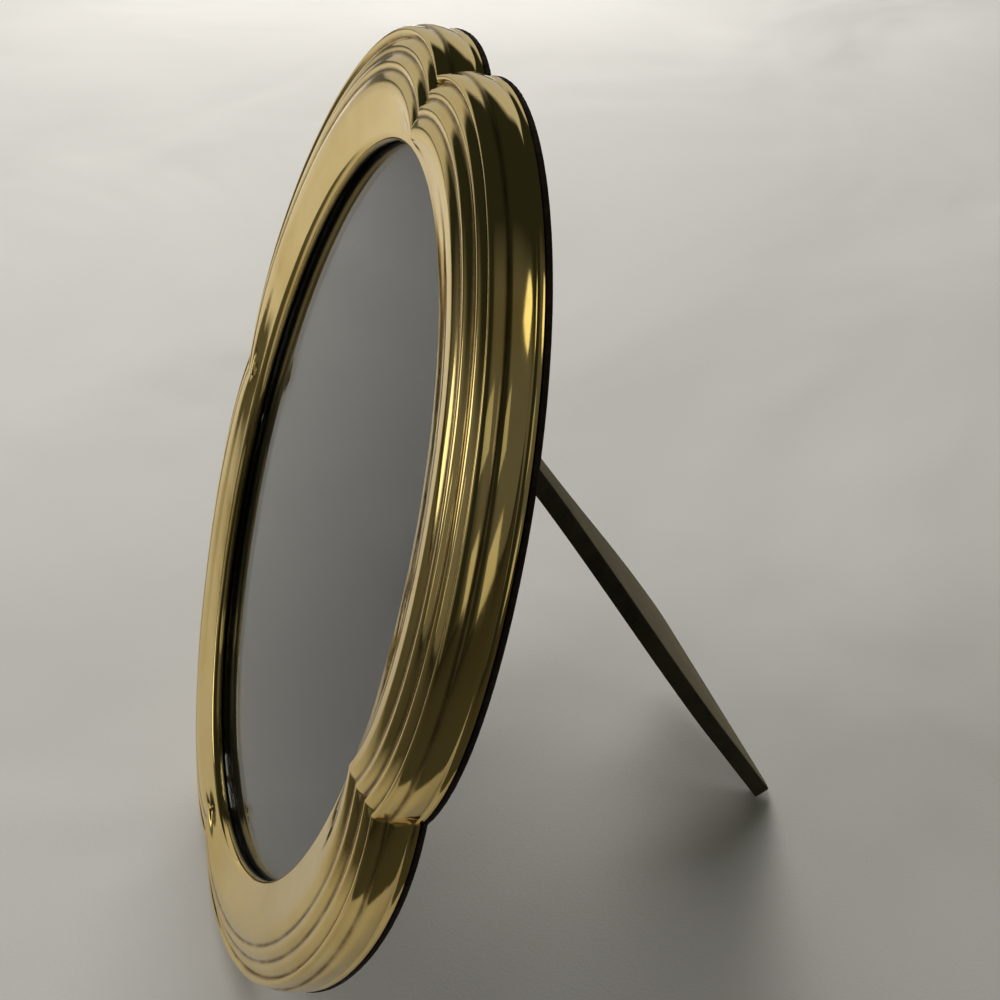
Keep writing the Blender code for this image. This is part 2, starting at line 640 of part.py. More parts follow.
def make_strut(bench):
    """The easel strut: its hinge leaf, board, wrapped velvet and rivets, all on the pivot."""
    leaf_front, leaf_back = LEAF_FRONT - PIN_DEPTH, LEAF_BACK - PIN_DEPTH
    board_front = leaf_back - GAP
    board_back = board_front - STRUT_BOARD_THICKNESS
    velvet_front = board_back - GAP
    velvet_back = velvet_front - VELVET_THICKNESS
    board = plate_mesh("strut_board", strut_outline(), board_back, board_front)
    board = bench.add(board, "strut_board", bench.fibre, bench.pivot)
    inside = strut_outline(GAP)
    outside = strut_outline(WRAP)
    soft_edge = strut_outline(GAP + 0.5 * VELVET_THICKNESS)
    wrap = [(inside, velvet_front), (inside, board_front), (outside, board_front),
            (outside, velvet_back + 0.5 * VELVET_THICKNESS), (soft_edge, velvet_back)]
    velvet = bench.add(rings_to_mesh("strut_velvet", stack(wrap), closed=False), "strut_velvet",
                       bench.velvet, bench.pivot)
    half = 0.5 * STRUT_LEAF_WIDTH
    start = -KNUCKLE_RADIUS - 2.0 * GAP
    corner = 2.5 * MM
    corners = [(-half, start - STRUT_LEAF_LENGTH, corner), (half, start - STRUT_LEAF_LENGTH, corner),
               (half, start, corner), (-half, start, corner)]
    leaf = bench.add(plate_mesh("strut_leaf", filleted(corners), leaf_back, leaf_front), "strut_leaf",
                     bench.hinge_steel, bench.pivot)
    side = 0.5 * CENTRE_KNUCKLE_WIDTH
    bench.cut(leaf, box_mesh("tongue", (-side, start - corner, leaf_back), (side, 0.0, leaf_front)), "UNION")
    bench.cut(leaf, rod_mesh("barrel", KNUCKLE_RADIUS, -side, side, "X"), "UNION")
    heel = box_mesh("heel", (-side + GAP, 0.5 * KNUCKLE_RADIUS, board_front - LEAF_THICKNESS),
                    (side - GAP, HEEL_LENGTH, board_front))
    heel.transform(Matrix.Rotation(-STRUT_OPENING, 4, "X"))
    bench.cut(leaf, heel, "UNION")
    bench.cut(leaf, drill(KNUCKLE_BORE, -side - GAP, side + GAP, axis="X"))
    places = rivet_places(LEAF_RIVET_SPACING, start - 0.55 * STRUT_LEAF_LENGTH)
    for i, (x, y) in enumerate(places, start=1):
        for piece in (leaf, board, velvet):
            bench.cut(piece, drill(RIVET_RADIUS + GAP, velvet_back - GAP, leaf_front + GAP, x, y))
        rivet(bench, "strut_rivet_" + str(i), bench.brass, bench.pivot, x, y, leaf_front - GAP, velvet_back - GAP)


def world_points(bench, on_strut):
    """Corners of the strut's pieces, or of all the others, as they stand now."""
    bpy.context.view_layer.update()
    points = []
    for item in bench.parts.objects:
        if item.type == "MESH" and (item.parent == bench.pivot) == on_strut:
            flat = np.empty(3 * len(item.data.vertices))
            item.data.vertices.foreach_get("co", flat)
            turn = np.array(item.matrix_world)
            points.append(flat.reshape(-1, 3) @ turn[:3, :3].T + turn[:3, 3])
    return np.vstack(points)


def stand_up(bench):
    """Lean the frame back until its lobes and its strut's foot stand level, centred on the origin."""
    low, high = math.radians(5.0), math.radians(45.0)
    for _ in range(30):
        lean = 0.5 * (low + high)
        bench.stand.rotation_euler = (0.5 * math.pi - lean, 0.0, 0.0)
        foot_above = world_points(bench, True)[:, 2].min() - world_points(bench, False)[:, 2].min()
        if foot_above > 0.0:
            low = lean
        else:
            high = lean
    every = np.vstack([world_points(bench, True), world_points(bench, False)])
    middle = 0.5 * (every.min(axis=0) + every.max(axis=0))
    bench.stand.location = (-middle[0], -middle[1], -every[:, 2].min())
    bpy.context.view_layer.update()


def main():
    clear_scene()
    bench = Bench()
    make_casting(bench)
    make_pack(bench)
    make_back_ring(bench)
    make_door(bench)
    make_turn_buttons(bench)
    make_hinge(bench)
    make_strut(bench)
    stand_up(bench)


main()
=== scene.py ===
"""Looks of the oval brass photo frame: its fine surfaces, finishes, floor, lamps and camera.

Lengths are in metres. Most pieces are worked out with the frame lying on its back, where x
runs across the picture, y up the picture and z towards the viewer, with z = 0 on the crest
of the lip. Two fixed placements then carry them to where the standing frame holds them.
"""

import logging
import math
from dataclasses import dataclass, field
from enum import Enum
from typing import ClassVar

import bmesh
import bpy
import numpy as np
from bpy.types import Material, Mesh, Node, NodeSocket, NodeTree, Object
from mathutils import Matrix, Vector


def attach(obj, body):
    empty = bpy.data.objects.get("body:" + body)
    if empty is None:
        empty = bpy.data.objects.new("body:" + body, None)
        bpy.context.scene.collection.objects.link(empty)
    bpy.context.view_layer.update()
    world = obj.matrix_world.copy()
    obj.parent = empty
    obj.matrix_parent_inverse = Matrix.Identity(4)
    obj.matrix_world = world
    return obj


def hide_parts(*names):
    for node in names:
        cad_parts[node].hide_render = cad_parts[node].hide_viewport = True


MM = 0.001
LOG = logging.getLogger("oval_frame")
Triple = tuple[float, float, float]
Colour = Triple
Point = Triple

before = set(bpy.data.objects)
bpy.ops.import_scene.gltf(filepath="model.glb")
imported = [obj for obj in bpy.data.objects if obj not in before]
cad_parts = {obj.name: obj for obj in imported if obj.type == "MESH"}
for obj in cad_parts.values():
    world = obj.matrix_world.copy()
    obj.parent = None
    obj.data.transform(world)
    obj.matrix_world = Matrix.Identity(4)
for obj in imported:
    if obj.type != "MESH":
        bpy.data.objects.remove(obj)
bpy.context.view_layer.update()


class Body(Enum):
    """Bodies that the pieces ride on."""

    FRAME = "frame"
    STRUT = "strut"


class Slot(Enum):
    """Finishes that the record names."""

    BRASS = "polished_brass"
    STEEL = "brassed_steel"
    FIBRE = "fibre_board"
    VELVET = "dark_velvet"


def turned(angle: float, shift: Point = (0, 0, 0), axis: int = 0) -> np.ndarray:
    """A placement that turns about an axis and then shifts.

    Args:
        angle: turn in radians.
        shift: shift in metres.
        axis: 0 to turn about x, 2 to turn about z.

    Returns:
        A 4 x 4 matrix.
    """
    place = np.eye(4)
    first = (axis + 1) % 3
    rows = slice(first, first + 2)
    place[rows, rows] = [[math.cos(angle), -math.sin(angle)], [math.sin(angle), math.cos(angle)]]
    place[:3, 3] = shift
    return place


LEAN = math.radians(21.3728)
STRUT_OPENING = math.radians(49)
PIN_HEIGHT = 46 * MM
PIN_DEPTH = -11.45 * MM
CLOTH_BACK = -9.35 * MM
STAND = turned(0.5 * math.pi - LEAN, (0, -0.0320348, 0.0904785))
HINGE = STAND @ turned(0, (0, PIN_HEIGHT, PIN_DEPTH))
STRUT = STAND @ turned(STRUT_OPENING, (0, PIN_HEIGHT, PIN_DEPTH))


def smooth_curve(points: np.ndarray, knots: np.ndarray, samples: int) -> np.ndarray:
    """Draw a smooth curve through points: a cubic Hermite curve with central tangents.

    Args:
        points: control points along the first axis.
        knots: growing parameter of each control point.
        samples: how many points to return, evenly spread over the parameter.

    Returns:
        The samples along the first axis.
    """
    slopes = np.gradient(points, knots, axis=0)
    at = np.linspace(knots[0], knots[-1], samples)
    cell = np.clip(np.searchsorted(knots, at, side="right") - 1, 0, len(knots) - 2)
    span = (knots[cell + 1] - knots[cell]).reshape(-1, *[1] * (points.ndim - 1))
    part = ((at - knots[cell]) / (knots[cell + 1] - knots[cell])).reshape(span.shape)
    square, cube = part**2, part**3
    return (
        (2 * cube - 3 * square + 1) * points[cell]
        + (cube - 2 * square + part) * span * slopes[cell]
        + (3 * square - 2 * cube) * points[cell + 1]
        + (cube - square) * span * slopes[cell + 1]
    )


def ring_faces(rings: int, stations: int, closed: bool) -> np.ndarray:
    """Corners of the quads between rings of equal length, each ring closed on itself.

    Args:
        rings: how many rings.
        stations: points on a ring.
        closed: whether the last ring joins the first.

    Returns:
        Vertex numbers, one quad a row.
    """
    row = np.arange(rings if closed else rings - 1)[:, None]
    col = np.arange(stations)[None, :]
    here, after, beside = row * stations, (row + 1) % rings * stations, (col + 1) % stations
    quads = [here + col, here + beside, after + beside, after + col]
    return np.stack(np.broadcast_arrays(*quads), axis=-1).reshape(-1, 4)


def shaded(mesh: Mesh, sharp: float = 35) -> Mesh:
    """Shade a mesh smooth, but for the edges that turn more than so many degrees."""
    mesh.shade_smooth()
    mesh.set_sharp_from_angle(angle=math.radians(sharp))
    return mesh


def end_caps(rings: int, stations: int) -> list[list[int]]:
    """Faces over the first and the last of some rings, as lists of vertex numbers."""
    last = (rings - 1) * stations
    return [list(range(stations)), list(range(last, last + stations))]


def mesh_from(name: str, points: np.ndarray, closed: bool = False, capped: bool = True,
              sharp: float = 35) -> Mesh:
    """Skin rings of points, facing outwards.

    Args:
        name: the mesh's name.
        points: rings x stations x 3 points.
        closed: whether the last ring joins the first.
        capped: whether the first and the last ring get a face.
        sharp: edges that turn more than this many degrees stay sharp.

    Returns:
        The mesh.
    """
    rings, stations = points.shape[:2]
    caps = end_caps(rings, stations) if capped else []
    mesh = bpy.data.meshes.new(name)
    mesh.from_pydata(points.reshape(-1, 3).tolist(), [], ring_faces(rings, stations, closed).tolist() + caps)
    work = bmesh.new()
    work.from_mesh(mesh)
    bmesh.ops.recalc_face_normals(work, faces=work.faces)
    work.to_mesh(mesh)
    work.free()
    return shaded(mesh, sharp)


def carried(mesh: Mesh, placement: np.ndarray) -> Mesh:
    """Move a mesh's points by a placement.

    Args:
        mesh: the mesh to move.
        placement: 4 x 4 matrix.

    Returns:
        The same mesh.
    """
    flat = np.empty(3 * len(mesh.vertices), dtype=np.float32)
    mesh.vertices.foreach_get("co", flat)
    moved = flat.reshape(-1, 3) @ placement[:3, :3].T + placement[:3, 3]
    mesh.vertices.foreach_set("co", moved.astype(np.float32).ravel())
    mesh.update()
    return mesh


def turned_mesh(name: str, profile: np.ndarray, about_x: bool = False) -> Mesh:
    """Turn a profile about z: radius times cosine and sine of the angle, height along the axis.

    Args:
        name: the mesh's name.
        profile: pairs of radius and height, with both ends near the axis.
        about_x: whether it is turned about x instead.

    Returns:
        The mesh, closed by a small face at each end.
    """
    angle = np.linspace(0, 2 * np.pi, 48, endpoint=False)
    radius, height = profile[:, :1], profile[:, 1:]
    parts = [radius * np.cos(angle), radius * np.sin(angle), height + 0 * angle]
    order = (2, 0, 1) if about_x else (0, 1, 2)
    return mesh_from(name, np.stack([parts[i] for i in order], axis=-1))


def quarter(radius: float, steps: int) -> np.ndarray:
    """Quarter of a circle round a corner: pairs of distance from one side and from the other."""
    turn = np.linspace(0, 0.5 * np.pi, steps)
    return np.column_stack([radius * (1 - np.cos(turn)), radius * (1 - np.sin(turn))])


def rounded(low: float, high: float, radius: float, reach: float) -> np.ndarray:
    """Edge of a plate seen from its side: flat, round a quarter circle, down, round another and flat.

    Args:
        low: height of the back.
        high: height of the front.
        radius: rounding of both edges.
        reach: how far in the flat parts start.

    Returns:
        Pairs of inset from the edge and height.
    """
    bend = quarter(radius, 5)
    top = bend[:, ::-1] * (1, -1) + (0, high)
    return np.vstack([[[reach, high]], top, bend + (0, low), [[reach, low]]])


def slab(name: str, outline: np.ndarray, edge: np.ndarray, sharp: float = 35) -> Mesh:
    """A flat piece: its outline moved inwards along its normal by each inset, at each height.

    Args:
        name: the mesh's name.
        outline: n x 2 points, anticlockwise.
        edge: pairs of inset and height, from the front flat to the back flat.
        sharp: angle in degrees up to which it is shaded smooth.

    Returns:
        The mesh, closed by one face in front and one behind.
    """
    tangent = np.roll(outline, -1, axis=0) - np.roll(outline, 1, axis=0)
    tangent /= np.linalg.norm(tangent, axis=1, keepdims=True)
    inward = np.column_stack([-tangent[:, 1], tangent[:, 0]])
    flat = outline[None] + edge[:, 0][:, None, None] * inward[None]
    heights = np.broadcast_to(edge[:, 1][:, None, None], (*flat.shape[:2], 1))
    return mesh_from(name, np.concatenate([flat, heights], axis=-1), sharp=sharp)


def box_corners(half: float, low: float, high: float, radius: float) -> list[Triple]:
    """Corners of a rectangle that is centred on y, each with its rounding."""
    return [(-half, low, radius), (half, low, radius), (half, high, radius), (-half, high, radius)]


def filleted(corners: list[Triple], steps: int = 12) -> np.ndarray:
    """Round the corners of a convex outline by circles.

    Args:
        corners: x, y and radius of each corner, anticlockwise.
        steps: samples in each corner.

    Returns:
        n x 2 points.
    """
    points = []
    for i, (x, y, radius) in enumerate(corners):
        here = np.array([x, y])
        before = np.array(corners[i - 1][:2]) - here
        after = np.array(corners[(i + 1) % len(corners)][:2]) - here
        before /= np.linalg.norm(before)
        after /= np.linalg.norm(after)
        half = 0.5 * math.acos(float(np.clip(before @ after, -1, 1)))
        bisector = (before + after) / np.linalg.norm(before + after)
        centre = here + bisector * radius / math.sin(half)
        start = here + before * radius / math.tan(half) - centre
        angle = (math.pi - 2 * half) * np.linspace(0, 1, steps + 1)
        spun = complex(*start) * np.exp(1j * angle)
        points.append(centre + np.column_stack([spun.real, spun.imag]))
    return np.vstack(points)


def uneven(turns: np.ndarray, rows: float | np.ndarray, seed: int, fine: int) -> np.ndarray:
    """Seeded unevenness round a ring: a sum of sines of turn and row with drawn waves and phases.

    Args:
        turns: part of a turn of each station, which every sine meets again after a turn.
        rows: position across, in radians.
        seed: seed of the drawn numbers.
        fine: most waves in a turn.

    Returns:
        Values of about -1 to 1, for each row and station.
    """
    draw = np.random.default_rng(seed)
    total = 0 * turns + 0 * rows
    for _ in range(14):
        waves = draw.integers(3, fine)
        total += np.sin(2 * np.pi * waves * turns + draw.uniform(0.3, 2.5) * rows + draw.uniform(0, 6.3))
    return total / 5


class Wiring:
    """A node tree that is being wired, of a material or of the world."""

    def __init__(self, tree: NodeTree, coords: str) -> None:
        """Take the tree, and the coordinates that its patterns follow."""
        self.tree = tree
        self.place = self.node("TexCoord").outputs[coords]

    def node(self, kind: str, inputs: dict | None = None, **settings: object) -> Node:
        """Add a node.

        Args:
            kind: node type without its prefix.
            inputs: values or sockets by input name or number.
            **settings: properties of the node.

        Returns:
            The node.
        """
        made = self.tree.nodes.new("ShaderNode" + kind)
        for key, value in settings.items():
            setattr(made, key, value)
        for key, value in (inputs or {}).items():
            self.feed(made.inputs[key], value)
        return made

    def feed(self, socket: NodeSocket, value: object) -> None:
        """Link a socket to an input, or set the input's own value."""
        if isinstance(value, NodeSocket):
            self.tree.links.new(value, socket)
        else:
            socket.default_value = value

    def noise(self, scale: float, detail: float = 3, coords: object = None, rough: float = 0.55,
              warp: float = 0) -> NodeSocket:
        """A noise pattern on the object's own coordinates, or on others."""
        inputs = {"Vector": coords or self.place, "Scale": scale, "Detail": detail, "Roughness": rough,
                  "Distortion": warp}
        return self.node("TexNoise", inputs).outputs["Fac"]

    def spread(self, value: object, low: float, high: float, to_low: float = 0,
               to_high: float = 1) -> NodeSocket:
        """Map a range of values to another, cut off at its ends."""
        inputs = {"Value": value, "From Min": low, "From Max": high, "To Min": to_low, "To Max": to_high}
        return self.node("MapRange", inputs).outputs["Result"]

    def join(self, operation: str, first: object, second: object) -> NodeSocket:
        """Join two values by an operation."""
        return self.node("Math", {0: first, 1: second}, operation=operation).outputs[0]

    def add(self, first: object, second: object) -> NodeSocket:
        """Add two values."""
        return self.join("ADD", first, second)

    def times(self, first: object, second: object) -> NodeSocket:
        """Multiply two values."""
        return self.join("MULTIPLY", first, second)

    def blend(self, part: object, first: object, second: object) -> NodeSocket:
        """Mix two colours.

        Args:
            part: share of the second colour, from 0 to 1.
            first: a socket, or a colour.
            second: a socket, or a colour.

        Returns:
            The mixed colour.
        """
        inputs = {"Factor": part}
        for key, value in ((6, first), (7, second)):
            inputs[key] = value if isinstance(value, NodeSocket) else (*value, 1)
        return self.node("Mix", inputs, data_type="RGBA").outputs[2]


class Shader(Wiring):
    """A material that is being wired, with its main shader at hand."""

    def __init__(self, name: str) -> None:
        """Make the material and its main shader."""
        self.material = bpy.data.materials.new(name)
        self.material.use_nodes = True
        super().__init__(self.material.node_tree, "Object")
        self.main = self.tree.nodes["Principled BSDF"]

    def set(self, **values: object) -> None:
        """Set or link inputs of the main shader, named with underscores for spaces."""
        for key, value in values.items():
            self.feed(self.main.inputs[key.replace("_", " ")], value)

    def stretch(self, scale: Point, coords: object = None) -> NodeSocket:
        """Coordinates stretched along the axes."""
        return self.node("Mapping", {"Vector": coords or self.place, "Scale": scale}).outputs[0]

    def bump(self, height: object, depth: float, before: object = None) -> NodeSocket:
        """A bumped normal.

        Args:
            height: height from 0 to 1.
            depth: what a height of 1 stands for, in metres.
            before: a bumped normal that this one adds to.

        Returns:
            The normal.
        """
        inputs = {"Height": height, "Distance": depth, "Strength": 1}
        if before is not None:
            inputs["Normal"] = before
        return self.node("Bump", inputs).outputs["Normal"]

    def show(self, part: object, first: NodeSocket, second: NodeSocket) -> None:
        """Let the material show a mix of two shaders."""
        mixed = self.node("MixShader", {0: part, 1: first, 2: second})
        self.feed(self.tree.nodes["Material Output"].inputs["Surface"], mixed.outputs[0])


@dataclass(frozen=True)
class PolishedBrass:
    """Cast brass polished by hand: rubbing marks along the reeds, brown dirt in the grooves and painted
    black shade on the lip's wall.
    """

    bright: Colour = (0.86, 0.665, 0.28)
    warm: Colour = (0.77, 0.55, 0.18)
    dirt: Colour = (0.2, 0.12, 0.05)
    # Painted shade on the lip's wall beside the glass.
    black: Colour = (0.012, 0.01, 0.007)
    along: bool = False

    def material(self, name: str) -> Material:
        """Wire the material; along the rail it follows the rail's map, its dirt and its painted shade on the
        lip's wall.
        """
        work = Shader(name)
        cloud = work.noise(55, 4)
        fine = work.spread(work.noise(900), 0.5, 0.8, 0, 0.05)
        rough = work.add(work.spread(cloud, 0.35, 0.75, 0.05, 0.13), fine)
        tone = work.blend(work.spread(cloud, 0.4, 0.75), self.bright, self.warm)
        smear = work.noise(420, 2, work.stretch((1, 1, 0.25)))
        marks = work.noise(1300, 2)
        if self.along:
            uv = work.node("TexCoord").outputs["UV"]
            marks = work.noise(1, 3, work.stretch((9, 420, 1), uv), warp=0.15)
            smear = work.noise(1, 2, work.stretch((5, 60, 1), uv))
            groove_dirt_lip_shade = work.node("Attribute", attribute_name="groove_dirt_lip_shade").outputs["Fac"]
            broken = work.spread(work.noise(160, 4), 0.3, 0.62, 0.5, 1)
            # Positive part of the rail's map: brown dirt in the grooves.
            dirt_and_shade = work.times(work.spread(groove_dirt_lip_shade, 0.05, 1), broken)
            # Negative part of the rail's map: painted shade, near black, on the lip's wall.
            black = work.spread(groove_dirt_lip_shade, 0, -0.8)
            tone = work.blend(black, work.blend(dirt_and_shade, tone, self.dirt), self.black)
            rough = work.add(rough, work.times(work.add(dirt_and_shade, black), 0.3))
        spots = work.spread(work.noise(330, 5, rough=0.7), 0.72, 0.8)
        tone = work.blend(work.times(spots, 0.55), tone, self.dirt)
        rough = work.add(rough, work.times(spots, 0.18))
        pits = work.spread(work.noise(210, 2), 0.22, 0.3)
        normal = work.bump(marks, 0.0016 * MM, work.bump(smear, 0.012 * MM))
        normal = work.bump(pits, 0.01 * MM, normal)
        work.set(Base_Color=tone, Metallic=1, Roughness=rough, Normal=normal)
        return work.material


@dataclass(frozen=True)
class PlatedSteel:
    """Thin brass plating on pressed steel, rubbed dull, with grey showing through in places."""

    plate: Colour = (0.55, 0.41, 0.19)
    steel: Colour = (0.34, 0.32, 0.29)
    rust: Colour = (0.09, 0.05, 0.025)

    def material(self, name: str) -> Material:
        """Wire the material."""
        work = Shader(name)
        worn = work.spread(work.noise(300, 5, rough=0.65), 0.5, 0.68)
        spots = work.spread(work.noise(900), 0.66, 0.74)
        tone = work.blend(work.times(spots, 0.7), work.blend(worn, self.plate, self.steel), self.rust)
        rough = work.spread(work.noise(160, 4), 0.3, 0.7, 0.24, 0.46)
        brushed = work.noise(1, 2, work.stretch((9000, 700, 700)))
        normal = work.bump(work.noise(1500), 0.006 * MM, work.bump(brushed, 0.004 * MM))
        work.set(Base_Color=tone, Metallic=1, Roughness=rough, Normal=normal)
        return work.material


@dataclass(frozen=True)
class Velvet:
    """Short dark velvet glued over board, with a nap that lies in patches."""

    pile: Colour = (0.02, 0.017, 0.01)
    brushed: Colour = (0.042, 0.036, 0.02)
    tips: Colour = (0.066, 0.058, 0.034)
    lint: Colour = (0.28, 0.26, 0.22)
    sheen: Colour = (0.3, 0.26, 0.16)

    def material(self, name: str) -> Material:
        """Wire the material."""
        work = Shader(name)
        patches = work.noise(60, 4, warp=1.2)
        strands = work.noise(2600)
        tone = work.blend(work.spread(patches, 0.42, 0.66), self.pile, self.brushed)
        tone = work.blend(work.spread(strands, 0.45, 0.8, 0, 0.5), tone, self.tips)
        lint = work.spread(work.noise(700, 1, work.stretch((1, 0.3, 1)), warp=2), 0.8, 0.83)
        tone = work.blend(work.times(lint, 0.3), tone, self.lint)
        normal = work.bump(patches, 0.25 * MM, work.bump(strands, 0.1 * MM))
        work.set(Base_Color=tone, Roughness=0.92, Specular_IOR_Level=0.15, Normal=normal)
        work.set(Sheen_Weight=0.55, Sheen_Roughness=0.35, Sheen_Tint=(*self.sheen, 1))
        return work.material


@dataclass(frozen=True)
class FibreBoard:
    """Pressed fibre board: flecked brown, or stained near black where its edge shows."""

    body: Colour = (0.21, 0.145, 0.085)
    fleck: Colour = (0.34, 0.26, 0.17)

    def material(self, name: str) -> Material:
        """Wire the material."""
        work = Shader(name)
        fibres = work.noise(520, 5, work.stretch((1, 0.35, 1)), rough=0.7)
        cloud = work.noise(70)
        tone = work.blend(work.spread(fibres, 0.45, 0.75), self.body, self.fleck)
        dark = tuple(0.5 * part for part in self.body)
        tone = work.blend(work.spread(cloud, 0.45, 0.8, 0, 0.7), tone, dark)
        rough = work.spread(cloud, 0.3, 0.7, 0.78, 0.95)
        normal = work.bump(fibres, 0.06 * MM)
        work.set(Base_Color=tone, Roughness=rough, Specular_IOR_Level=0.3, Normal=normal)
        return work.material


@dataclass(frozen=True)
class GreyCard:
    """The plain sheet behind the glass: smooth, dark grey, faintly mottled, with a few pale specks painted
    in as small highlights.
    """

    body: Colour = (0.006, 0.0068, 0.0062)
    light: Colour = (0.009, 0.0098, 0.0092)
    # Painted highlights: pale specks where small wrinkles would catch the light.
    painted_glint: Colour = (0.3, 0.3, 0.28)

    def material(self, name: str) -> Material:
        """Wire the material."""
        work = Shader(name)
        mottle = work.noise(45, 5)
        tone = work.blend(work.spread(mottle, 0.3, 0.7), self.body, self.light)
        # Painted highlights, scattered as pale specks.
        tone = work.blend(work.spread(work.noise(480, 1), 0.83, 0.86), tone, self.painted_glint)
        rough = work.spread(mottle, 0.3, 0.7, 0.5, 0.62)
        normal = work.bump(mottle, 0.3 * MM)
        work.set(Base_Color=tone, Roughness=rough, Specular_IOR_Level=0.1, Normal=normal)
        return work.material


@dataclass(frozen=True)
class PaneGlass:
    """Thin clear glass with dust and a few hair scratches; light passes through it to the card."""

    tint: Colour = (0.74, 0.76, 0.75)
    clear: Colour = (0.86, 0.88, 0.87)
    bending: float = 1.32

    def material(self, name: str) -> Material:
        """Wire the material: glass, but clear to the rays that carry shadow."""
        work = Shader(name)
        dust = work.spread(work.noise(900, 2), 0.74, 0.8)
        haze = work.spread(work.noise(38, 4), 0.35, 0.75, 0, 0.02)
        scratch = work.noise(1, 1, work.stretch((3000, 60, 60)), warp=0.4)
        wave = work.bump(work.noise(26, 1), 0.03 * MM)
        normal = work.bump(work.spread(scratch, 0.78, 0.84), 0.002 * MM, wave)
        work.set(Base_Color=(*self.tint, 1), Roughness=work.add(haze, work.times(dust, 0.25)))
        work.set(IOR=self.bending, Transmission_Weight=1, Normal=normal)
        clear = work.node("BsdfTransparent", {"Color": (*self.clear, 1)})
        work.show(work.node("LightPath").outputs["Is Shadow Ray"], work.main.outputs[0], clear.outputs[0])
        return work.material


def linked(name: str, data: bpy.types.ID) -> Object:
    """Put a mesh, a lamp or a camera into the scene."""
    item = bpy.data.objects.new(name, data)
    bpy.context.scene.collection.objects.link(item)
    return item


def set_out(mesh: Mesh, material: Material, body: str, node: str) -> Object:
    """Show a finished mesh in place of a CAD node, on the node's body.

    Args:
        mesh: the mesh, at its place in the world.
        material: its finish.
        body: the body that it rides on.
        node: the CAD node that it stands for.

    Returns:
        The object.
    """
    item = linked(mesh.name, mesh)
    mesh.materials.clear()
    mesh.materials.append(material)
    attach(item, body)
    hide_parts(node)
    return item


def dress(node: str, material: Material) -> None:
    """Give a CAD node that stays a better finish."""
    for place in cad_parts[node].material_slots:
        place.link = "OBJECT"
        place.material = material


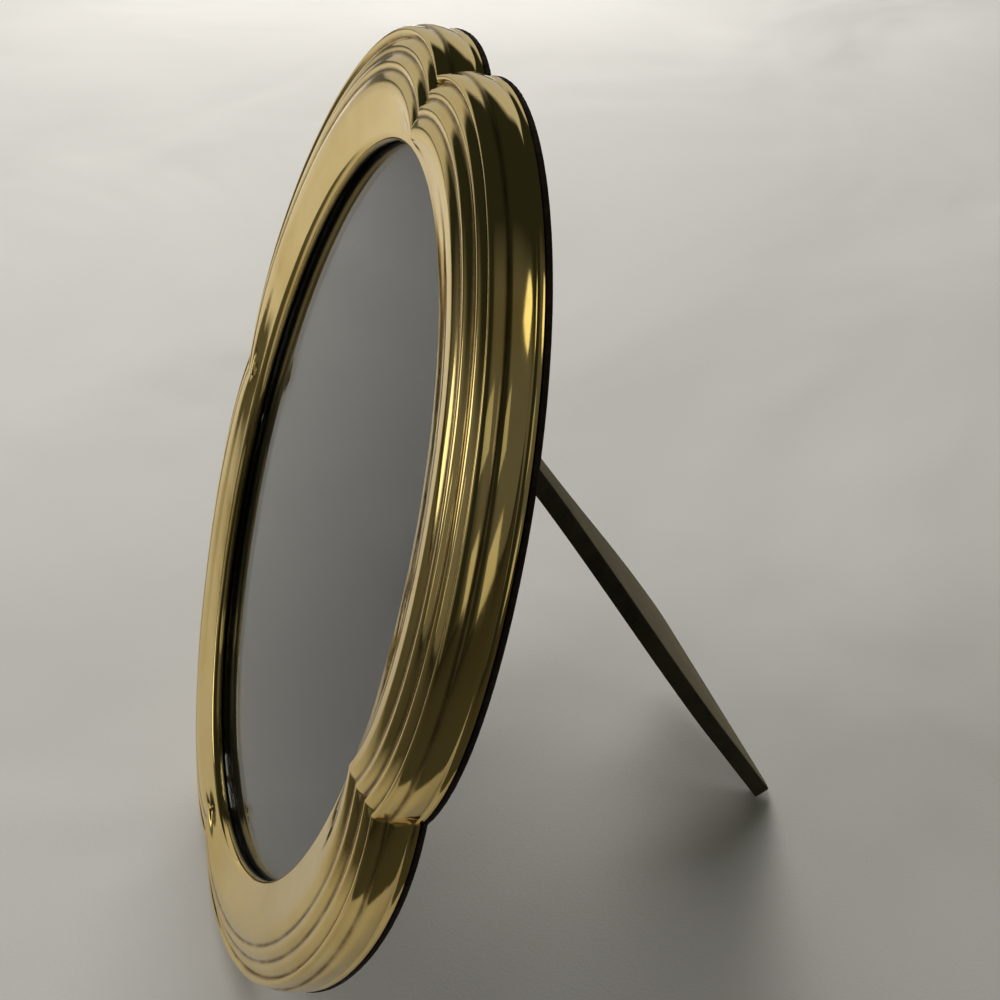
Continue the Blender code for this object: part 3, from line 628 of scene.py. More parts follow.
@dataclass
class Rail:
    """The reeded brass rail, and the ovals and lobes that the other pieces follow.

    Four tables in capitals hold the section's control points. FLANK and SHOULDER give millimetres in from
    the first groove or the outer edge, and above that groove or the shoulder's crest. REED gives parts of a
    reed's width and of a groove's depth, and FOOT parts of the flange, in from the edge and above the back.
    """

    half_width: float = 54 * MM
    half_height: float = 76.5 * MM
    lip_roll: float = 1.4 * MM
    lip_depth: float = 2.8 * MM
    band: float = 4.8 * MM
    brow: float = 2.7 * MM
    lobe_rise: float = 5.2 * MM
    lobe_power: float = 5.4
    reed: float = 2.87 * MM
    shoulder: float = 2.86 * MM
    groove: float = 0.45 * MM
    rise: float = 1.5 * MM
    fall: float = 2.8 * MM
    flange: float = 0.3 * MM
    back: float = -7.4 * MM
    rebate: float = 3.2 * MM
    web: float = 1.4 * MM
    wall: float = 1.6 * MM
    soil_reach: float = 0.4 * MM
    # How far below the crest, and how softly, black shade is painted on the lip's wall beside the glass.
    lip_shade_below: float = -1.7 * MM
    lip_shade_over: float = 0.6 * MM
    soft_groove: tuple[float, float] = (0.8 * MM, -2.18 * MM)
    lobes: int = 4
    stations: int = 640
    samples: int = 140
    FLANK: ClassVar = ((2, 0.53), (1.4, 0.42), (0.9, 0.29), (0.45, 0.13))
    REED: ClassVar = (
        (0, 1), (0.1, 0.84), (0.22, 0.46), (0.34, 0.14), (0.47, 0), (0.6, 0.1), (0.74, 0.42), (0.88, 0.82))
    SHOULDER: ClassVar = (
        (2.86, -0.45), (2.64, -0.24), (2.36, 0.04), (2.02, 0.2), (1.68, 0.14), (1.38, -0.18), (1.16, -0.72),
        (1.02, -1.3), (0.93, -1.86), (0.8, -2.16), (0.6, -2.34), (0.4, -2.64), (0.25, -3.1), (0.13, -3.85),
        (0.1, -4.75), (0.16, -5.65))
    FOOT: ClassVar = ((1, 3.3), (0.35, 2.5), (0, 1.5), (0, 0))
    reeds_width: float = field(init=False)
    at_notch: float = field(init=False)

    def __post_init__(self) -> None:
        """Work out the widths that follow from the others."""
        self.reeds_width = 2 * self.reed + self.shoulder
        self.at_notch = self.lip_roll + self.band + self.reeds_width

    def turns(self, count: int) -> np.ndarray:
        """Stations round the rail, closer together beside the notches and one on each notch."""
        step = np.linspace(0, 1, count // self.lobes, endpoint=False)
        eased = step - 0.11 * np.sin(2 * np.pi * step)
        return ((np.arange(self.lobes)[:, None] + eased[None, :]) / self.lobes).ravel()

    def width(self, turns: np.ndarray) -> np.ndarray:
        """Width of the rail: least at the notches, by a high power of the distance from mid lobe."""
        along = 2 * ((turns * self.lobes) % 1) - 1
        return self.at_notch + self.lobe_rise * (1 - np.abs(along) ** self.lobe_power)

    def place(self, turns: np.ndarray, outward: float | np.ndarray) -> np.ndarray:
        """Points of the opening's oval, moved outward along its normal."""
        angle = 2 * np.pi * turns
        normal = np.stack([self.half_height * np.cos(angle), self.half_width * np.sin(angle)], axis=-1)
        normal /= np.linalg.norm(normal, axis=-1, keepdims=True)
        oval = np.stack([self.half_width * np.cos(angle), self.half_height * np.sin(angle)], axis=-1)
        return oval + np.asarray(outward)[..., None] * normal

    def face(self, inset: float | np.ndarray) -> float | np.ndarray:
        """Height of the reeds' crests at a distance in from the outer edge."""
        return self.rise - self.fall * (1 - inset / self.reeds_width) ** 1.25

    def controls(self, width: np.ndarray) -> list[tuple[float | np.ndarray, float]]:
        """Control points of the front's section, one smooth curve with soft grooves.

        Args:
            width: rail width at each station.

        Returns:
            Pairs of outward distance and height, from the glass to the outer foot.
        """
        roll, end = self.lip_roll, width - self.reeds_width
        low, top = self.face(self.reeds_width) - self.groove, self.face(self.shoulder)
        points = [(0.28 * MM, -self.lip_depth), (0.07 * MM, -0.8 * self.lip_depth)]
        points += [(roll * (1 - np.cos(a)), roll * (np.sin(a) - 1))
                   for a in np.array([0, 0.25, 0.5, 0.75, 0.94]) * np.pi / 2]
        points += [(0.5 * (roll + end - self.brow), 0.55 * self.rise), (end - self.brow, 1.03 * self.rise)]
        points += [(end - before * MM, low + above * MM) for before, above in self.FLANK]
        for first in (self.reeds_width, self.reeds_width - self.reed):
            for part, depth in self.REED:
                inset = first - part * self.reed
                points.append((width - inset, self.face(inset) - depth * self.groove))
        points += [(width - inset * MM, top + above * MM) for inset, above in self.SHOULDER]
        foot = self.flange * np.array(self.FOOT)
        return points + [(width - inset, self.back + above) for inset, above in foot]

    def dirt_and_shade(self, section: np.ndarray, width: float) -> np.ndarray:
        """How dirty the front is, by a bell curve of the distance from the nearest groove, and where shade
        is painted on the lip's wall.

        Args:
            section: outward distance and height of its samples.
            width: the rail's width there.

        Returns:
            For each sample 1 in a groove, 0 on open brass and -1 on the lip's wall beside the glass, where
            black shade is painted.
        """
        insets = self.reeds_width - self.reed * np.arange(3)
        inset, drop = self.soft_groove
        soft = (inset, self.face(self.shoulder) + drop)
        grooves = np.vstack([np.column_stack([insets, self.face(insets) - self.groove]), soft])
        out, up = section.T
        away = np.min(np.hypot(*(np.stack([width - out, up])[:, None] - grooves.T[..., None])), axis=0)
        # Painted shade: the lip's wall below the roll turns black, standing in for the shadow in the gap
        # above the glass.
        hidden = np.clip((self.lip_shade_below - up) / self.lip_shade_over, 0, 1) * (out < self.lip_roll)
        return np.exp(-((away / self.soil_reach) ** 2)) - hidden

    def section(self, turns: np.ndarray) -> tuple[np.ndarray, np.ndarray]:
        """The fine section at each station, and for each of its points how dirty it is and whether shade is
        painted on it.

        Args:
            turns: the stations.

        Returns:
            Outward distance and height, samples x stations x 2, and one number a sample.
        """
        width = self.width(turns)
        web = self.rebate + self.web
        wall = width - self.wall
        hidden = [(wall, self.back), (wall, -3.1 * MM), (width - self.shoulder, -1.9 * MM), (web, -1.8 * MM),
                  (web, self.back), (self.rebate, self.back), (self.rebate, -self.lip_depth)]
        front, behind = (
            np.stack([np.stack(np.broadcast_arrays(out, up, width)[:2], axis=-1) for out, up in pairs])
            for pairs in (self.controls(width), hidden))
        mid_lobe = len(turns) // (2 * self.lobes)
        steps = np.linalg.norm(np.diff(front[:, mid_lobe], axis=0), axis=1)
        fine = smooth_curve(front, np.concatenate([[0], np.cumsum(steps)]), self.samples)
        dirt_and_shade = self.dirt_and_shade(fine[:, mid_lobe], width[mid_lobe])
        return np.concatenate([fine, behind]), np.concatenate([dirt_and_shade, np.zeros(len(behind))])

    def casting(self) -> Mesh:
        """Carry the section round the opening, with the slight waviness of hand polishing.

        Returns:
            The mesh, with a UV map along and across the rail, and its dirt and painted lip shade as an
            attribute.
        """
        turns = self.turns(self.stations)
        section, dirt_and_shade = self.section(turns)
        across = np.linspace(0, 2 * np.pi, len(section))[:, None]
        wave = uneven(turns[None], across, 7, 26)
        ripple = uneven(turns[None], 3 * across, 11, 60)
        seen = (np.arange(len(section)) < self.samples)[:, None]
        up = section[..., 1] + seen * (0.016 * wave + 0.005 * ripple) * MM
        out = section[..., 0] + seen * (0.012 * wave - 0.004 * ripple) * MM
        points = np.concatenate([self.place(turns[None], out), up[..., None]], axis=-1)
        mesh = mesh_from("brass_rail", points, closed=True, capped=False, sharp=30)
        step = np.linalg.norm(np.diff(points, axis=0, append=points[:1]), axis=-1).mean(axis=1)
        v = np.concatenate([[0], np.cumsum(step)])[:-1]
        u = turns * np.pi * (self.half_width + self.half_height)
        corners = np.empty(len(mesh.loops), dtype=np.int32)
        mesh.loops.foreach_get("vertex_index", corners)
        grid = np.stack(np.broadcast_arrays(u, v[:, None]), axis=-1).reshape(-1, 2)
        mesh.uv_layers.new(name="along").data.foreach_set("uv", (10 * grid[corners]).ravel())
        groove_dirt_lip_shade = mesh.attributes.new("groove_dirt_lip_shade", "FLOAT", "POINT")
        groove_dirt_lip_shade.data.foreach_set("value", np.repeat(dirt_and_shade, len(turns)).astype(np.float32))
        return mesh

    def hoop(self, name: str, turns: np.ndarray, edge: list[tuple], closed: bool = True) -> Mesh:
        """Carry a small section round the opening.

        Args:
            name: the mesh's name.
            turns: the stations.
            edge: pairs of outward distance and height, each a number or one number a station.
            closed: whether the section closes on itself; otherwise its ends get a face each.

        Returns:
            The mesh.
        """
        rings = [np.column_stack([self.place(turns, np.broadcast_to(out, turns.shape)),
                                  np.broadcast_to(up, turns.shape)]) for out, up in edge]
        return mesh_from(name, np.stack(rings), closed, not closed, 40)

    def build(self, brass: Material) -> None:
        """Make the casting and show it."""
        set_out(carried(self.casting(), STAND), brass, Body.FRAME.value, "brass_frame")


@dataclass
class Backing:
    """Ring board, its cloth and the cloth of the loose door, all a little fuzzy at their edges."""

    rail: Rail
    ring_front: float = -7.7 * MM
    ring_back: float = -8.6 * MM
    cloth_front: float = -8.9 * MM
    door_front: float = -6.8 * MM
    overhang: float = 0.2 * MM
    margin: float = 2.4 * MM
    pack_edge: float = 2.7 * MM

    def ring(self) -> Mesh:
        """The ring board: its outer edge frayed by seeded unevenness, round in section."""
        turns = self.rail.turns(1600)
        edge = self.rail.width(turns) + self.overhang
        middle, half = 0.5 * (self.ring_front + self.ring_back), 0.5 * (self.ring_front - self.ring_back)
        section = [(self.rail.rebate, self.ring_front), (edge - 1 * MM, self.ring_front)]
        for number, angle in enumerate(np.radians([75, 40, 0, -40, -75])):
            fray = 0.045 * MM * uneven(turns, number, 21 + number, 700)
            section.append((edge - 0.28 * MM * (1 - np.cos(angle)) + fray,
                            middle + half * np.sin(angle) + 0.4 * fray))
        section += [(edge - 1 * MM, self.ring_back), (self.rail.rebate, self.ring_back)]
        return self.rail.hoop("ring_board", turns, section)

    def ring_cloth(self) -> Mesh:
        """The ring's velvet: a thin sheet with soft edges and an uneven cut."""
        turns = self.rail.turns(720)
        fray = 0.06 * MM * uneven(turns, 0, 31, 260)
        swell = 0.05 * MM * uneven(turns, 0, 33, 40)
        edge = self.rail.width(turns) + self.overhang - self.margin + fray
        inner = self.rail.rebate + 0.05 * MM + 0.3 * fray
        front, back = self.cloth_front, CLOTH_BACK
        section = [(inner + 0.1 * MM, front), (edge - 0.1 * MM, front), (edge, 0.5 * (front + back)),
                   (edge - 0.12 * MM, back + 0.1 * MM), (edge - 0.45 * MM, back + 0.02 * MM),
                   (0.5 * (inner + edge), back + 0.05 * MM + swell), (inner + 0.45 * MM, back + 0.02 * MM),
                   (inner + 0.12 * MM, back + 0.1 * MM), (inner, 0.5 * (front + back))]
        return self.rail.hoop("ring_cloth", turns, section)

    def door_cloth(self) -> Mesh:
        """The door's velvet: wrapped over the edge of the board and round at its corner."""
        turns = np.linspace(0, 1, 480, endpoint=False)
        edge = self.pack_edge
        section = [(edge - 0.45 * MM, self.door_front), (edge, self.door_front)]
        section += [(edge - inset, CLOTH_BACK + above) for inset, above in quarter(0.4 * MM, 6)]
        section += [(edge - inset * MM, CLOTH_BACK + np.abs(0.03 * MM * uneven(turns, inset, 41, 9)))
                    for inset in (2, 6, 12, 20, 30, 42)]
        return self.rail.hoop("door_cloth", turns, section, closed=False)

    def build(self, board: Material, velvet: Material) -> None:
        """Make the three pieces and show them."""
        for mesh, material, node, slot in ((self.ring(), board, "back_ring", Slot.FIBRE),
                                           (self.ring_cloth(), velvet, "ring_velvet", Slot.VELVET),
                                           (self.door_cloth(), velvet, "door_velvet", Slot.VELVET)):
            set_out(carried(mesh, STAND), material, Body.FRAME.value, node)


@dataclass
class Fasteners:
    """Turn buttons with slotted screws, and the domed rivets."""

    rail: Rail
    gap: float = 0.3 * MM
    button_thickness: float = 0.8 * MM
    button_width: float = 6.4 * MM
    pivot_inset: float = 9.8 * MM
    button_reach: float = 11.6 * MM
    head_radius: float = 2.4 * MM
    head_height: float = 1 * MM
    shank: float = 0.95 * MM
    screw_tip: float = -5 * MM
    slot_width: float = 0.55 * MM
    rivet_head: float = 2.2 * MM
    rivet_shank: float = 1.1 * MM
    rivet_height: float = 0.9 * MM

    def button(self, name: str) -> Mesh:
        """A stamped button with rounded edges, a little narrower at its finger end."""
        half, reach = 0.5 * self.button_width, self.button_reach
        corners = [(-half, -half, 0.9 * half), (reach, -0.8 * half, 0.7 * half),
                   (reach, 0.8 * half, 0.7 * half), (-half, half, 0.9 * half)]
        return slab(name, filleted(corners), rounded(-self.button_thickness, 0, 0.22 * MM, 0.8 * MM))

    def dome(self, name: str, radius: float, seat: float, height: float, shank: float, end: float) -> Mesh:
        """A domed head below its seat, a quarter ellipse, on a plain shank that ends in a small chamfer.

        Args:
            name: the mesh's name.
            radius: radius of the head.
            seat: height of the head's flat side.
            height: how far the head rises from it.
            shank: radius of the shank.
            end: height of the shank's end.

        Returns:
            The mesh.
        """
        turn = np.linspace(0.04, 0.5 * np.pi, 12)
        head = np.column_stack([radius * np.sin(turn), seat - 0.12 * height - 0.88 * height * np.cos(turn)])
        foot = [[radius, seat], [shank, seat], [shank, end - 0.3 * shank], [0.6 * shank, end]]
        return turned_mesh(name, np.vstack([head, foot]))

    def slotted(self, mesh: Mesh, seat: float, heading: float) -> Mesh:
        """Cut a straight driver slot across a screw's head.

        Args:
            mesh: the screw.
            seat: height of the head's flat side.
            heading: the slot's direction, in radians.

        Returns:
            A new mesh.
        """
        tool = bpy.data.meshes.new("slot_tool")
        work = bmesh.new()
        bmesh.ops.create_cube(work, size=1)
        work.to_mesh(tool)
        work.free()
        shape = np.diag([3 * self.head_radius, self.slot_width, self.head_height, 1])
        shape[2, 3] = seat - 1.05 * self.head_height
        cutter = linked("slot_cutter", carried(tool, turned(heading, axis=2) @ shape))
        blank = linked("blank", mesh)
        cut = blank.modifiers.new("slot", "BOOLEAN")
        cut.operation, cut.solver, cut.object = "DIFFERENCE", "EXACT", cutter
        bpy.context.view_layer.update()
        done = bpy.data.meshes.new_from_object(blank.evaluated_get(bpy.context.evaluated_depsgraph_get()))
        for item in (cutter, blank):
            bpy.data.objects.remove(item, do_unlink=True)
        return shaded(done)

    def build(self, steel: Material, brass: Material) -> None:
        """Make the buttons and their screws, one to a lobe."""
        turns = (np.arange(4) + 0.5) / 4
        pivots = self.rail.place(turns, self.pivot_inset)
        inward = self.rail.place(turns, 0) - pivots
        front = CLOTH_BACK - self.gap
        seat = front - self.button_thickness - self.gap
        for i, (pivot, (x, y)) in enumerate(zip(pivots, inward), start=1):
            place = STAND @ turned(math.atan2(y, x), (*pivot, front), axis=2)
            node = f"turn_button_{i}"
            set_out(carried(self.button(f"button_{i}"), place), steel, node, node)
            name = f"screw_{i}"
            screw = self.dome(name, self.head_radius, seat, self.head_height, self.shank, self.screw_tip)
            screw = self.slotted(screw, seat, 1.1 * i - 0.7)
            screw.name = name
            place = STAND @ turned(0, (*pivot, 0))
            set_out(carried(screw, place), brass, Body.FRAME.value, f"turn_screw_{i}")


@dataclass
class Hinge:
    """The strut's hinge: two pressed leaves rolled round one pin, and their rivets."""

    fasteners: Fasteners
    knuckle: float = 1.8 * MM
    bore: float = 1.1 * MM
    sheet: float = 0.8 * MM
    gap: float = 0.3 * MM
    side_near: float = 3.3 * MM
    side_far: float = 8.7 * MM
    centre: float = 3 * MM
    pin_radius: float = 0.8 * MM
    pin_head: float = 1.5 * MM
    plate_width: float = 26 * MM
    plate_height: float = 14 * MM
    foot: float = 2.4 * MM
    leaf_width: float = 12.4 * MM
    leaf_length: float = 18 * MM
    corner: float = 2.5 * MM
    heel: float = 7 * MM
    heel_width: float = 5.4 * MM

    def rolled(self, low: float, high: float, side: float) -> tuple[np.ndarray, np.ndarray]:
        """A knuckle rolled from its sheet: the sheet's section runs flat and then round the pin.

        Args:
            low: one end along the pin.
            high: the other end.
            side: 1 where the sheet lies above the pin, -1 where it lies below.

        Returns:
            Points, rings x stations x 3, and quads of a band that is open at its ends.
        """
        angle = np.radians(np.linspace(90, 378, 40))
        circle = np.column_stack([np.cos(angle), np.sin(angle)])
        reach = self.foot + self.corner
        loop = np.vstack([[[reach, self.knuckle]], self.knuckle * circle, self.bore * circle[::-1],
                          [[reach, self.knuckle - self.sheet]]])
        loop[:, 0] *= side
        small = 0.12 * MM
        centre = loop.mean(axis=0)
        shrunk = loop + (centre - loop) * small / (6 * self.knuckle)
        rings = [np.column_stack([np.full(len(loop), x), ring])
                 for x, ring in ((low, shrunk), (low + small, loop), (high - small, loop), (high, shrunk))]
        return np.stack(rings), ring_faces(len(rings), len(loop), False)

    def leaf(self, name: str, corners: list[Triple], knuckles: tuple[Triple, ...]) -> Mesh:
        """A pressed leaf: a plate with rounded edges, and its rolled knuckles.

        Args:
            name: the mesh's name.
            corners: x, y and radius of the plate's corners.
            knuckles: ends along the pin and side of each knuckle.

        Returns:
            The mesh.
        """
        edge = rounded(self.knuckle - self.sheet, self.knuckle, 0.2 * MM, 0.8 * MM)
        plate = slab(name, filleted(corners), edge)
        work = bmesh.new()
        work.from_mesh(plate)
        for knuckle in knuckles:
            points, quads = self.rolled(*knuckle)
            verts = [work.verts.new(point) for point in points.reshape(-1, 3)]
            faces = quads.tolist() + end_caps(*points.shape[:2])
            fresh = [work.faces.new([verts[i] for i in face]) for face in faces]
            bmesh.ops.recalc_face_normals(work, faces=fresh)
        work.to_mesh(plate)
        work.free()
        return shaded(plate)

    def stop(self) -> Mesh:
        """The heel behind the pin, which meets the plate when the strut is open."""
        half, start = 0.5 * self.heel_width, 0.9 * MM
        outline = filleted([(-half, start, 0.3 * MM), (half, start, 0.3 * MM), (half, self.heel, 1.2 * MM),
                            (-half, self.heel, 1.2 * MM)], 6)
        front = self.knuckle - self.sheet - self.gap
        piece = slab("heel", outline, rounded(front - self.sheet, front, 0.15 * MM, 0.4 * MM))
        return carried(piece, turned(-STRUT_OPENING))

    def pin(self) -> Mesh:
        """The pin along x, the same at both ends: a plain rod with domed heads."""
        far, head = self.side_far + self.gap, self.pin_head
        turn = np.linspace(0.08, 0.5 * np.pi, 8)
        cap = np.column_stack([head * np.sin(turn), far + 0.2 * MM + 0.6 * MM * np.cos(turn)])
        half = np.vstack([cap, [[head, far], [self.pin_radius, far]]])
        return turned_mesh("pin", np.vstack([half, (half * (1, -1))[::-1]]), about_x=True)

    def strut_leaf(self) -> Mesh:
        """The moving leaf with its knuckle and its heel."""
        corners = box_corners(0.5 * self.leaf_width, -self.foot - self.leaf_length, -self.foot, self.corner)
        leaf = self.leaf("leaf", corners, ((-self.centre, self.centre, -1),))
        work = bmesh.new()
        work.from_mesh(leaf)
        work.from_mesh(self.stop())
        work.to_mesh(leaf)
        work.free()
        return leaf

    def build(self, steel: Material, brass: Material) -> None:
        """Make plate, pin, leaf and rivets and show them."""
        corners = box_corners(0.5 * self.plate_width, self.foot, self.foot + self.plate_height, self.corner)
        sides = ((-self.side_far, -self.side_near, 1), (self.side_near, self.side_far, 1))
        plate = carried(self.leaf("plate", corners, sides), HINGE)
        set_out(plate, steel, Body.FRAME.value, "hinge_plate")
        set_out(carried(self.pin(), HINGE), steel, Body.FRAME.value, "hinge_pin")
        set_out(carried(self.strut_leaf(), STRUT), steel, Body.STRUT.value, "strut_leaf")
        self.rivets(brass)

    def rivets(self, brass: Material) -> None:
        """Show two rivets side by side through the door, and two through the strut."""
        kit = self.fasteners
        on_plate = (8.5 * MM, PIN_HEIGHT + self.foot + 0.5 * self.plate_height, -10.75 * MM, -6.8 * MM)
        on_leaf = (3.2 * MM, -self.foot - 0.55 * self.leaf_length, -3.25 * MM, 1.5 * MM)
        for name, node, body, stand, (aside, high, seat, end) in (
                ("door_rivet", "plate_rivet", Body.FRAME, STAND, on_plate),
                ("leg_rivet", "strut_rivet", Body.STRUT, STRUT, on_leaf)):
            for i, x in enumerate((-aside, aside), start=1):
                head = kit.dome(f"{name}_{i}", kit.rivet_head, seat, kit.rivet_height, kit.rivet_shank, end)
                place = stand @ turned(0, (x, high, 0))
                set_out(carried(head, place), brass, body.value, f"{node}_{i}")


@dataclass
class Leg:
    """The easel strut's cloth: wrapped over the edges of its board, with an oblique foot."""

    length: float = 148 * MM
    short_side: float = 121 * MM
    neck: float = 15.4 * MM
    foot: float = 46 * MM
    offset: float = 2 * MM
    top: float = 2.4 * MM
    tip_setback: float = 0.45 * MM
    neck_length: float = 38 * MM
    flare: float = 72 * MM
    neck_round: float = 3.2 * MM
    tip_round: float = 3.5 * MM
    heel_round: float = 9.7 * MM
    board_front: float = 0.7 * MM
    cloth_back: float = -2.95 * MM

    def outline(self) -> np.ndarray:
        """The strut seen from behind: neck, eased flare and oblique foot.

        Returns:
            n x 2 points, anticlockwise.
        """
        neck, wide = 0.5 * self.neck, 0.5 * self.foot
        end, flared = self.neck_length, self.neck_length + self.flare
        head = [(neck, -end, 0.1 * neck), (neck, -self.top, self.neck_round),
                (-neck, -self.top, self.neck_round), (-neck, -end, 0.1 * neck)]
        base = [(-wide, -flared, 0.1 * wide), (-wide, -self.short_side, self.heel_round),
                (wide, self.tip_setback - self.length, self.tip_round), (wide, -flared, 0.1 * wide)]
        steps = 14
        kept = slice(steps + 1, 3 * (steps + 1))
        part = np.linspace(0, 1, 40)
        eased = part * part * (3 - 2 * part)
        down = -end - self.flare * part
        far = np.column_stack([-neck - (wide - self.offset - neck) * eased, down])
        near = np.column_stack([neck + (wide + self.offset - neck) * eased, down])
        bottom = filleted(base, steps)[kept] + (self.offset, 0)
        drawn = np.vstack([filleted(head, steps)[kept], far, bottom, near[::-1]])
        apart = np.linalg.norm(drawn - np.roll(drawn, 1, axis=0), axis=1) > 0.02 * MM
        return drawn[apart]

    def cloth(self) -> Mesh:
        """The wrapped velvet: a soft round edge behind, and a cut edge in front."""
        front = self.board_front
        back = quarter(0.55 * MM, 6) + (0, self.cloth_back)
        cut = [[0.45 * MM, front - 0.1 * MM], [0.1 * MM, front], [0, front - 0.15 * MM]]
        return slab("leg_cloth", self.outline(), np.vstack([cut, back]), 50)

    def build(self, velvet: Material) -> None:
        """Make the cloth and show it."""
        set_out(carried(self.cloth(), STRUT), velvet, Body.STRUT.value, "strut_velvet")


@dataclass(frozen=True)
class Lamp:
    """An oblong lamp that faces a point, its power in watts; not mirrored where it says so."""

    name: str
    place: Point
    aim: Point
    size: tuple[float, float]
    power: float
    colour: Colour
    mirrored: bool = True

    def build(self) -> None:
        """Set the lamp up, upright and hidden from the camera."""
        data = bpy.data.lights.new(self.name, "AREA")
        data.shape = "RECTANGLE"
        data.size, data.size_y = self.size
        data.energy = self.power
        data.color = self.colour
        item = linked(self.name, data)
        item.location = self.place
        way = Vector(self.aim) - item.location
        item.rotation_mode = "QUATERNION"
        item.rotation_quaternion = way.to_track_quat("-Z", "Y")
        item.visible_camera = False
        item.visible_glossy = self.mirrored


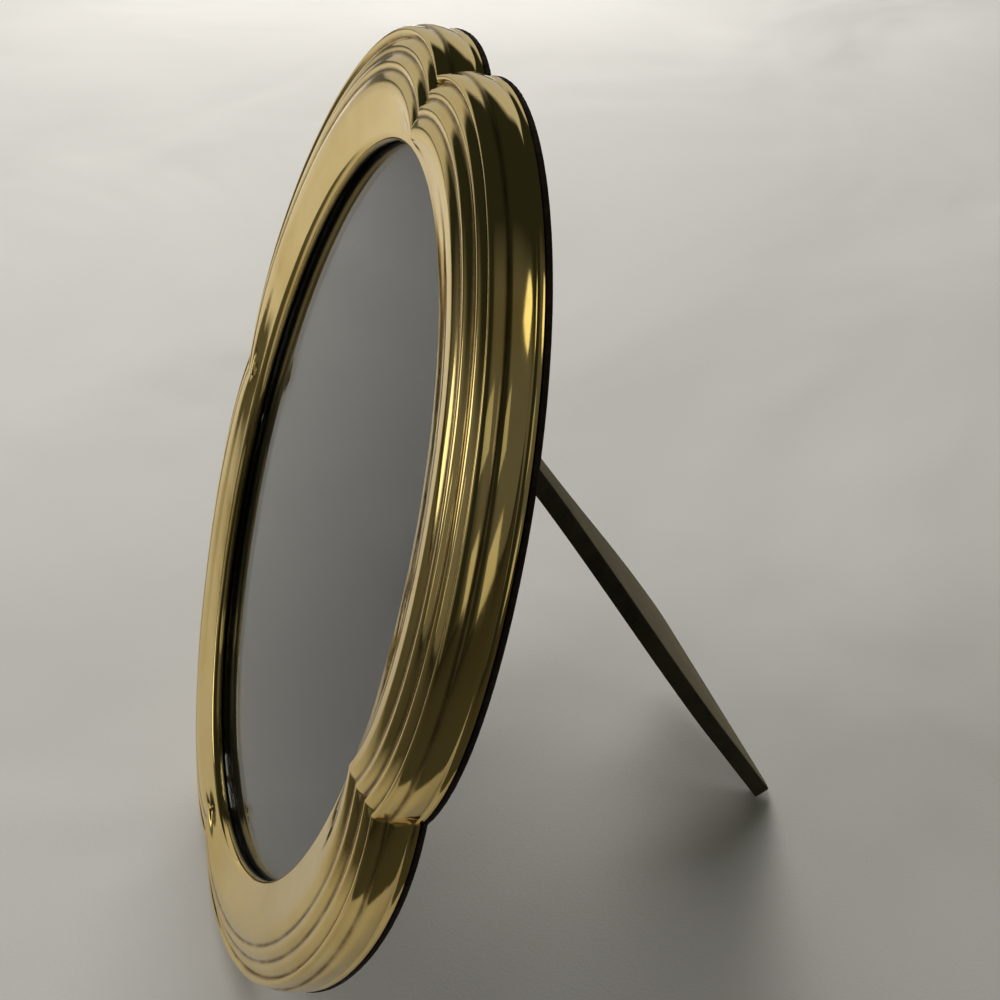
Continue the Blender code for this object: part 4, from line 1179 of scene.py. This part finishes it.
@dataclass
class Studio:
    """Pale floor, soft lamps, a dim room to be mirrored, and the camera."""

    floor: Colour = (0.74, 0.715, 0.68)
    # Colour of the cards that paint dark reflections in the brass.
    card: Colour = (0.1, 0.095, 0.072)
    dim: Colour = (0.02, 0.022, 0.016)
    bright: Colour = (1, 0.985, 0.95)
    wall: Colour = (0.55, 0.54, 0.52)
    camera_place: Point = (0.178423, -0.0405592, 0.2421684)
    camera_turn: tuple[float, float, float, float] = (0.7297624, 0.3321763, 0.2643034, 0.5359565)
    lens: float = 43.8
    MIDDLE: ClassVar = (0, 0, 0.08)
    LAMPS: ClassVar = (
        Lamp("soft_box", (-0.45, -0.1, 0.95), (-0.42, -0.1, 0), (0.5, 0.5), 3.2, (1, 0.995, 0.97), False),
        Lamp("key_box", (-0.45, -0.92, 0.78), (-0.15, 0, 0), (0.45, 0.45), 3.4, (1, 0.995, 0.97), False),
        Lamp("far_light", (-0.95, 0.28, 0.4), (-0.4, 0.1, 0), (0.4, 0.5), 4.6, (1, 0.995, 0.975), False),
        Lamp("window", (-0.5, -1.4, 0.32), MIDDLE, (0.4, 0.42), 0.84, (1, 0.99, 0.9)),
        Lamp("strip", (0.12, -1.35, 0.3), MIDDLE, (0.05, 0.5), 0.07, (1, 0.96, 0.75)),
        Lamp("side_wall", (1.15, 0.25, 0.19), MIDDLE, (0.45, 0.3), 0.16, (1, 0.97, 0.82)),
        Lamp("high_lamp", (0.48, 0.8, 0.77), (0, 0, 0.1), (0.3, 0.22), 0.27, (1, 0.99, 0.74)),
        Lamp("ceiling_glow", (1, 0.05, 0.82), (0, 0, 0.1), (0.45, 0.3), 0.12, (1, 0.97, 0.8)),
    )

    def sheet(self, material: Material, low: tuple[float, float], high: tuple[float, float], up: float = 0,
              only_mirrored: bool = False) -> None:
        """Lay a flat sheet on the stage.

        Args:
            material: its finish, which names it.
            low: its left near corner.
            high: its right far corner.
            up: its height.
            only_mirrored: whether it shows in nothing but mirror images.
        """
        mesh = bpy.data.meshes.new(material.name)
        (x0, y0), (x1, y1) = low, high
        mesh.from_pydata([(x0, y0, up), (x1, y0, up), (x1, y1, up), (x0, y1, up)], [], [(0, 1, 2, 3)])
        mesh.materials.append(material)
        item = linked(mesh.name, mesh)
        if only_mirrored:
            item.visible_camera = item.visible_diffuse = item.visible_shadow = False

    def cloth_floor(self) -> None:
        """A pale sheet, with broad soft folds in its bump and painted shade, up to 7 percent darker, along
        the same folds.
        """
        work = Shader("floor")
        folds = work.noise(5, 3, rough=0.4, warp=0.6)
        # Painted shade along the folds.
        shade = tuple(0.93 * part for part in self.floor)
        tone = work.blend(work.spread(folds, 0.35, 0.7), self.floor, shade)
        normal = work.bump(work.noise(1400, 2), 0.05 * MM, work.bump(folds, 12 * MM))
        work.set(Base_Color=tone, Roughness=0.9, Specular_IOR_Level=0.1, Normal=normal)
        self.sheet(work.material, (-3, -3), (3, 3))

    def dark_cards(self) -> None:
        """Two dark cards seen only in mirror images, painting dark reflections where the room would lie in
        shade: beside the frame, and in front of it with a soft edge.
        """
        side, front = Shader("dark_card_side"), Shader("dark_card_front")
        for work in (side, front):
            work.set(Base_Color=(*self.card, 1), Roughness=0.9)
        place = front.node("SeparateXYZ", {"Vector": front.place}).outputs
        slant = front.spread(front.join("SUBTRACT", place["X"], place["Y"]), -0.01, 0.05)
        shown = front.times(slant, front.spread(place["Y"], -0.14, -0.24))
        front.show(shown, front.node("BsdfTransparent").outputs[0], front.main.outputs[0])
        self.sheet(side.material, (0.14, -2.4), (2.4, 2.4), 2 * MM, True)
        self.sheet(front.material, (-2.4, -2.4), (0.14, -0.1), 2 * MM, True)

    def surroundings(self) -> None:
        """A dim room: pale low down on its left side, faintly lit in front and on the right.

        Each part is a range of the direction looked in. The camera itself sees an even wall.
        """
        world = bpy.data.worlds.new("room")
        world.use_nodes = True
        bpy.context.scene.world = world
        work = Wiring(world.node_tree, "Generated")
        way = work.node("SeparateXYZ", {"Vector": work.place}).outputs
        skewed = work.node("VectorMath", {0: work.place, 1: (1, -0.157, 0)}, operation="DOT_PRODUCT")
        aside = work.spread(skewed.outputs["Value"], -0.68, -0.74)
        left = work.times(aside, work.spread(way["Z"], 0.58, 0.48))
        front = work.times(work.spread(way["Y"], -0.7, -0.86, 0, 0.13), work.spread(way["Z"], 0.62, 0.4))
        right = work.times(work.spread(way["X"], 0.1, 0.4, 0, 0.085), work.spread(way["Y"], -0.2, 0.1))
        total = work.join("MAXIMUM", work.times(left, 0.48), work.join("MAXIMUM", front, right))
        room = work.blend(total, self.dim, self.bright)
        seen = work.blend(work.node("LightPath").outputs["Is Camera Ray"], room, self.wall)
        work.feed(work.tree.nodes["Background"].inputs["Color"], seen)

    def camera(self) -> None:
        """The camera at the photograph's angle."""
        data = bpy.data.cameras.new("camera")
        data.lens = self.lens
        data.sensor_width = 36
        data.clip_start = 0.01
        item = linked("camera", data)
        item.location = self.camera_place
        item.rotation_mode = "QUATERNION"
        item.rotation_quaternion = self.camera_turn
        bpy.context.scene.camera = item

    def build(self) -> None:
        """Set out the floor, the room, the lamps and the camera."""
        bpy.context.scene.view_settings.view_transform = "Standard"
        self.cloth_floor()
        self.surroundings()
        for lamp in self.LAMPS:
            lamp.build()
        self.dark_cards()
        self.camera()


def main() -> None:
    """Build the pieces in order and report each one."""
    logging.basicConfig(level=logging.INFO, format="%(name)s: %(message)s")
    cast = PolishedBrass(along=True).material("polished_brass_rail")
    small = PolishedBrass().material("polished_brass_small")
    steel = PlatedSteel().material("brassed_steel_worn")
    velvet = Velvet().material("dark_velvet_nap")
    board = FibreBoard(body=(0.016, 0.01, 0.007), fleck=(0.045, 0.03, 0.02)).material("black_board")
    rail = Rail()
    rail.build(cast)
    LOG.info("brass rail")
    Backing(rail).build(board, velvet)
    LOG.info("ring board and velvet")
    kit = Fasteners(rail)
    kit.build(steel, small)
    Hinge(kit).build(steel, small)
    LOG.info("buttons, screws, hinge and rivets")
    Leg().build(velvet)
    LOG.info("strut")
    dress("glass_pane", PaneGlass().material("pane_glass"))
    dress("mount_card", GreyCard().material("insert_card"))
    brown = FibreBoard().material("brown_board")
    for node in ("filler_board", "back_door", "strut_board"):
        dress(node, brown)
    Studio().build()


if __name__ == "__main__":
    main()
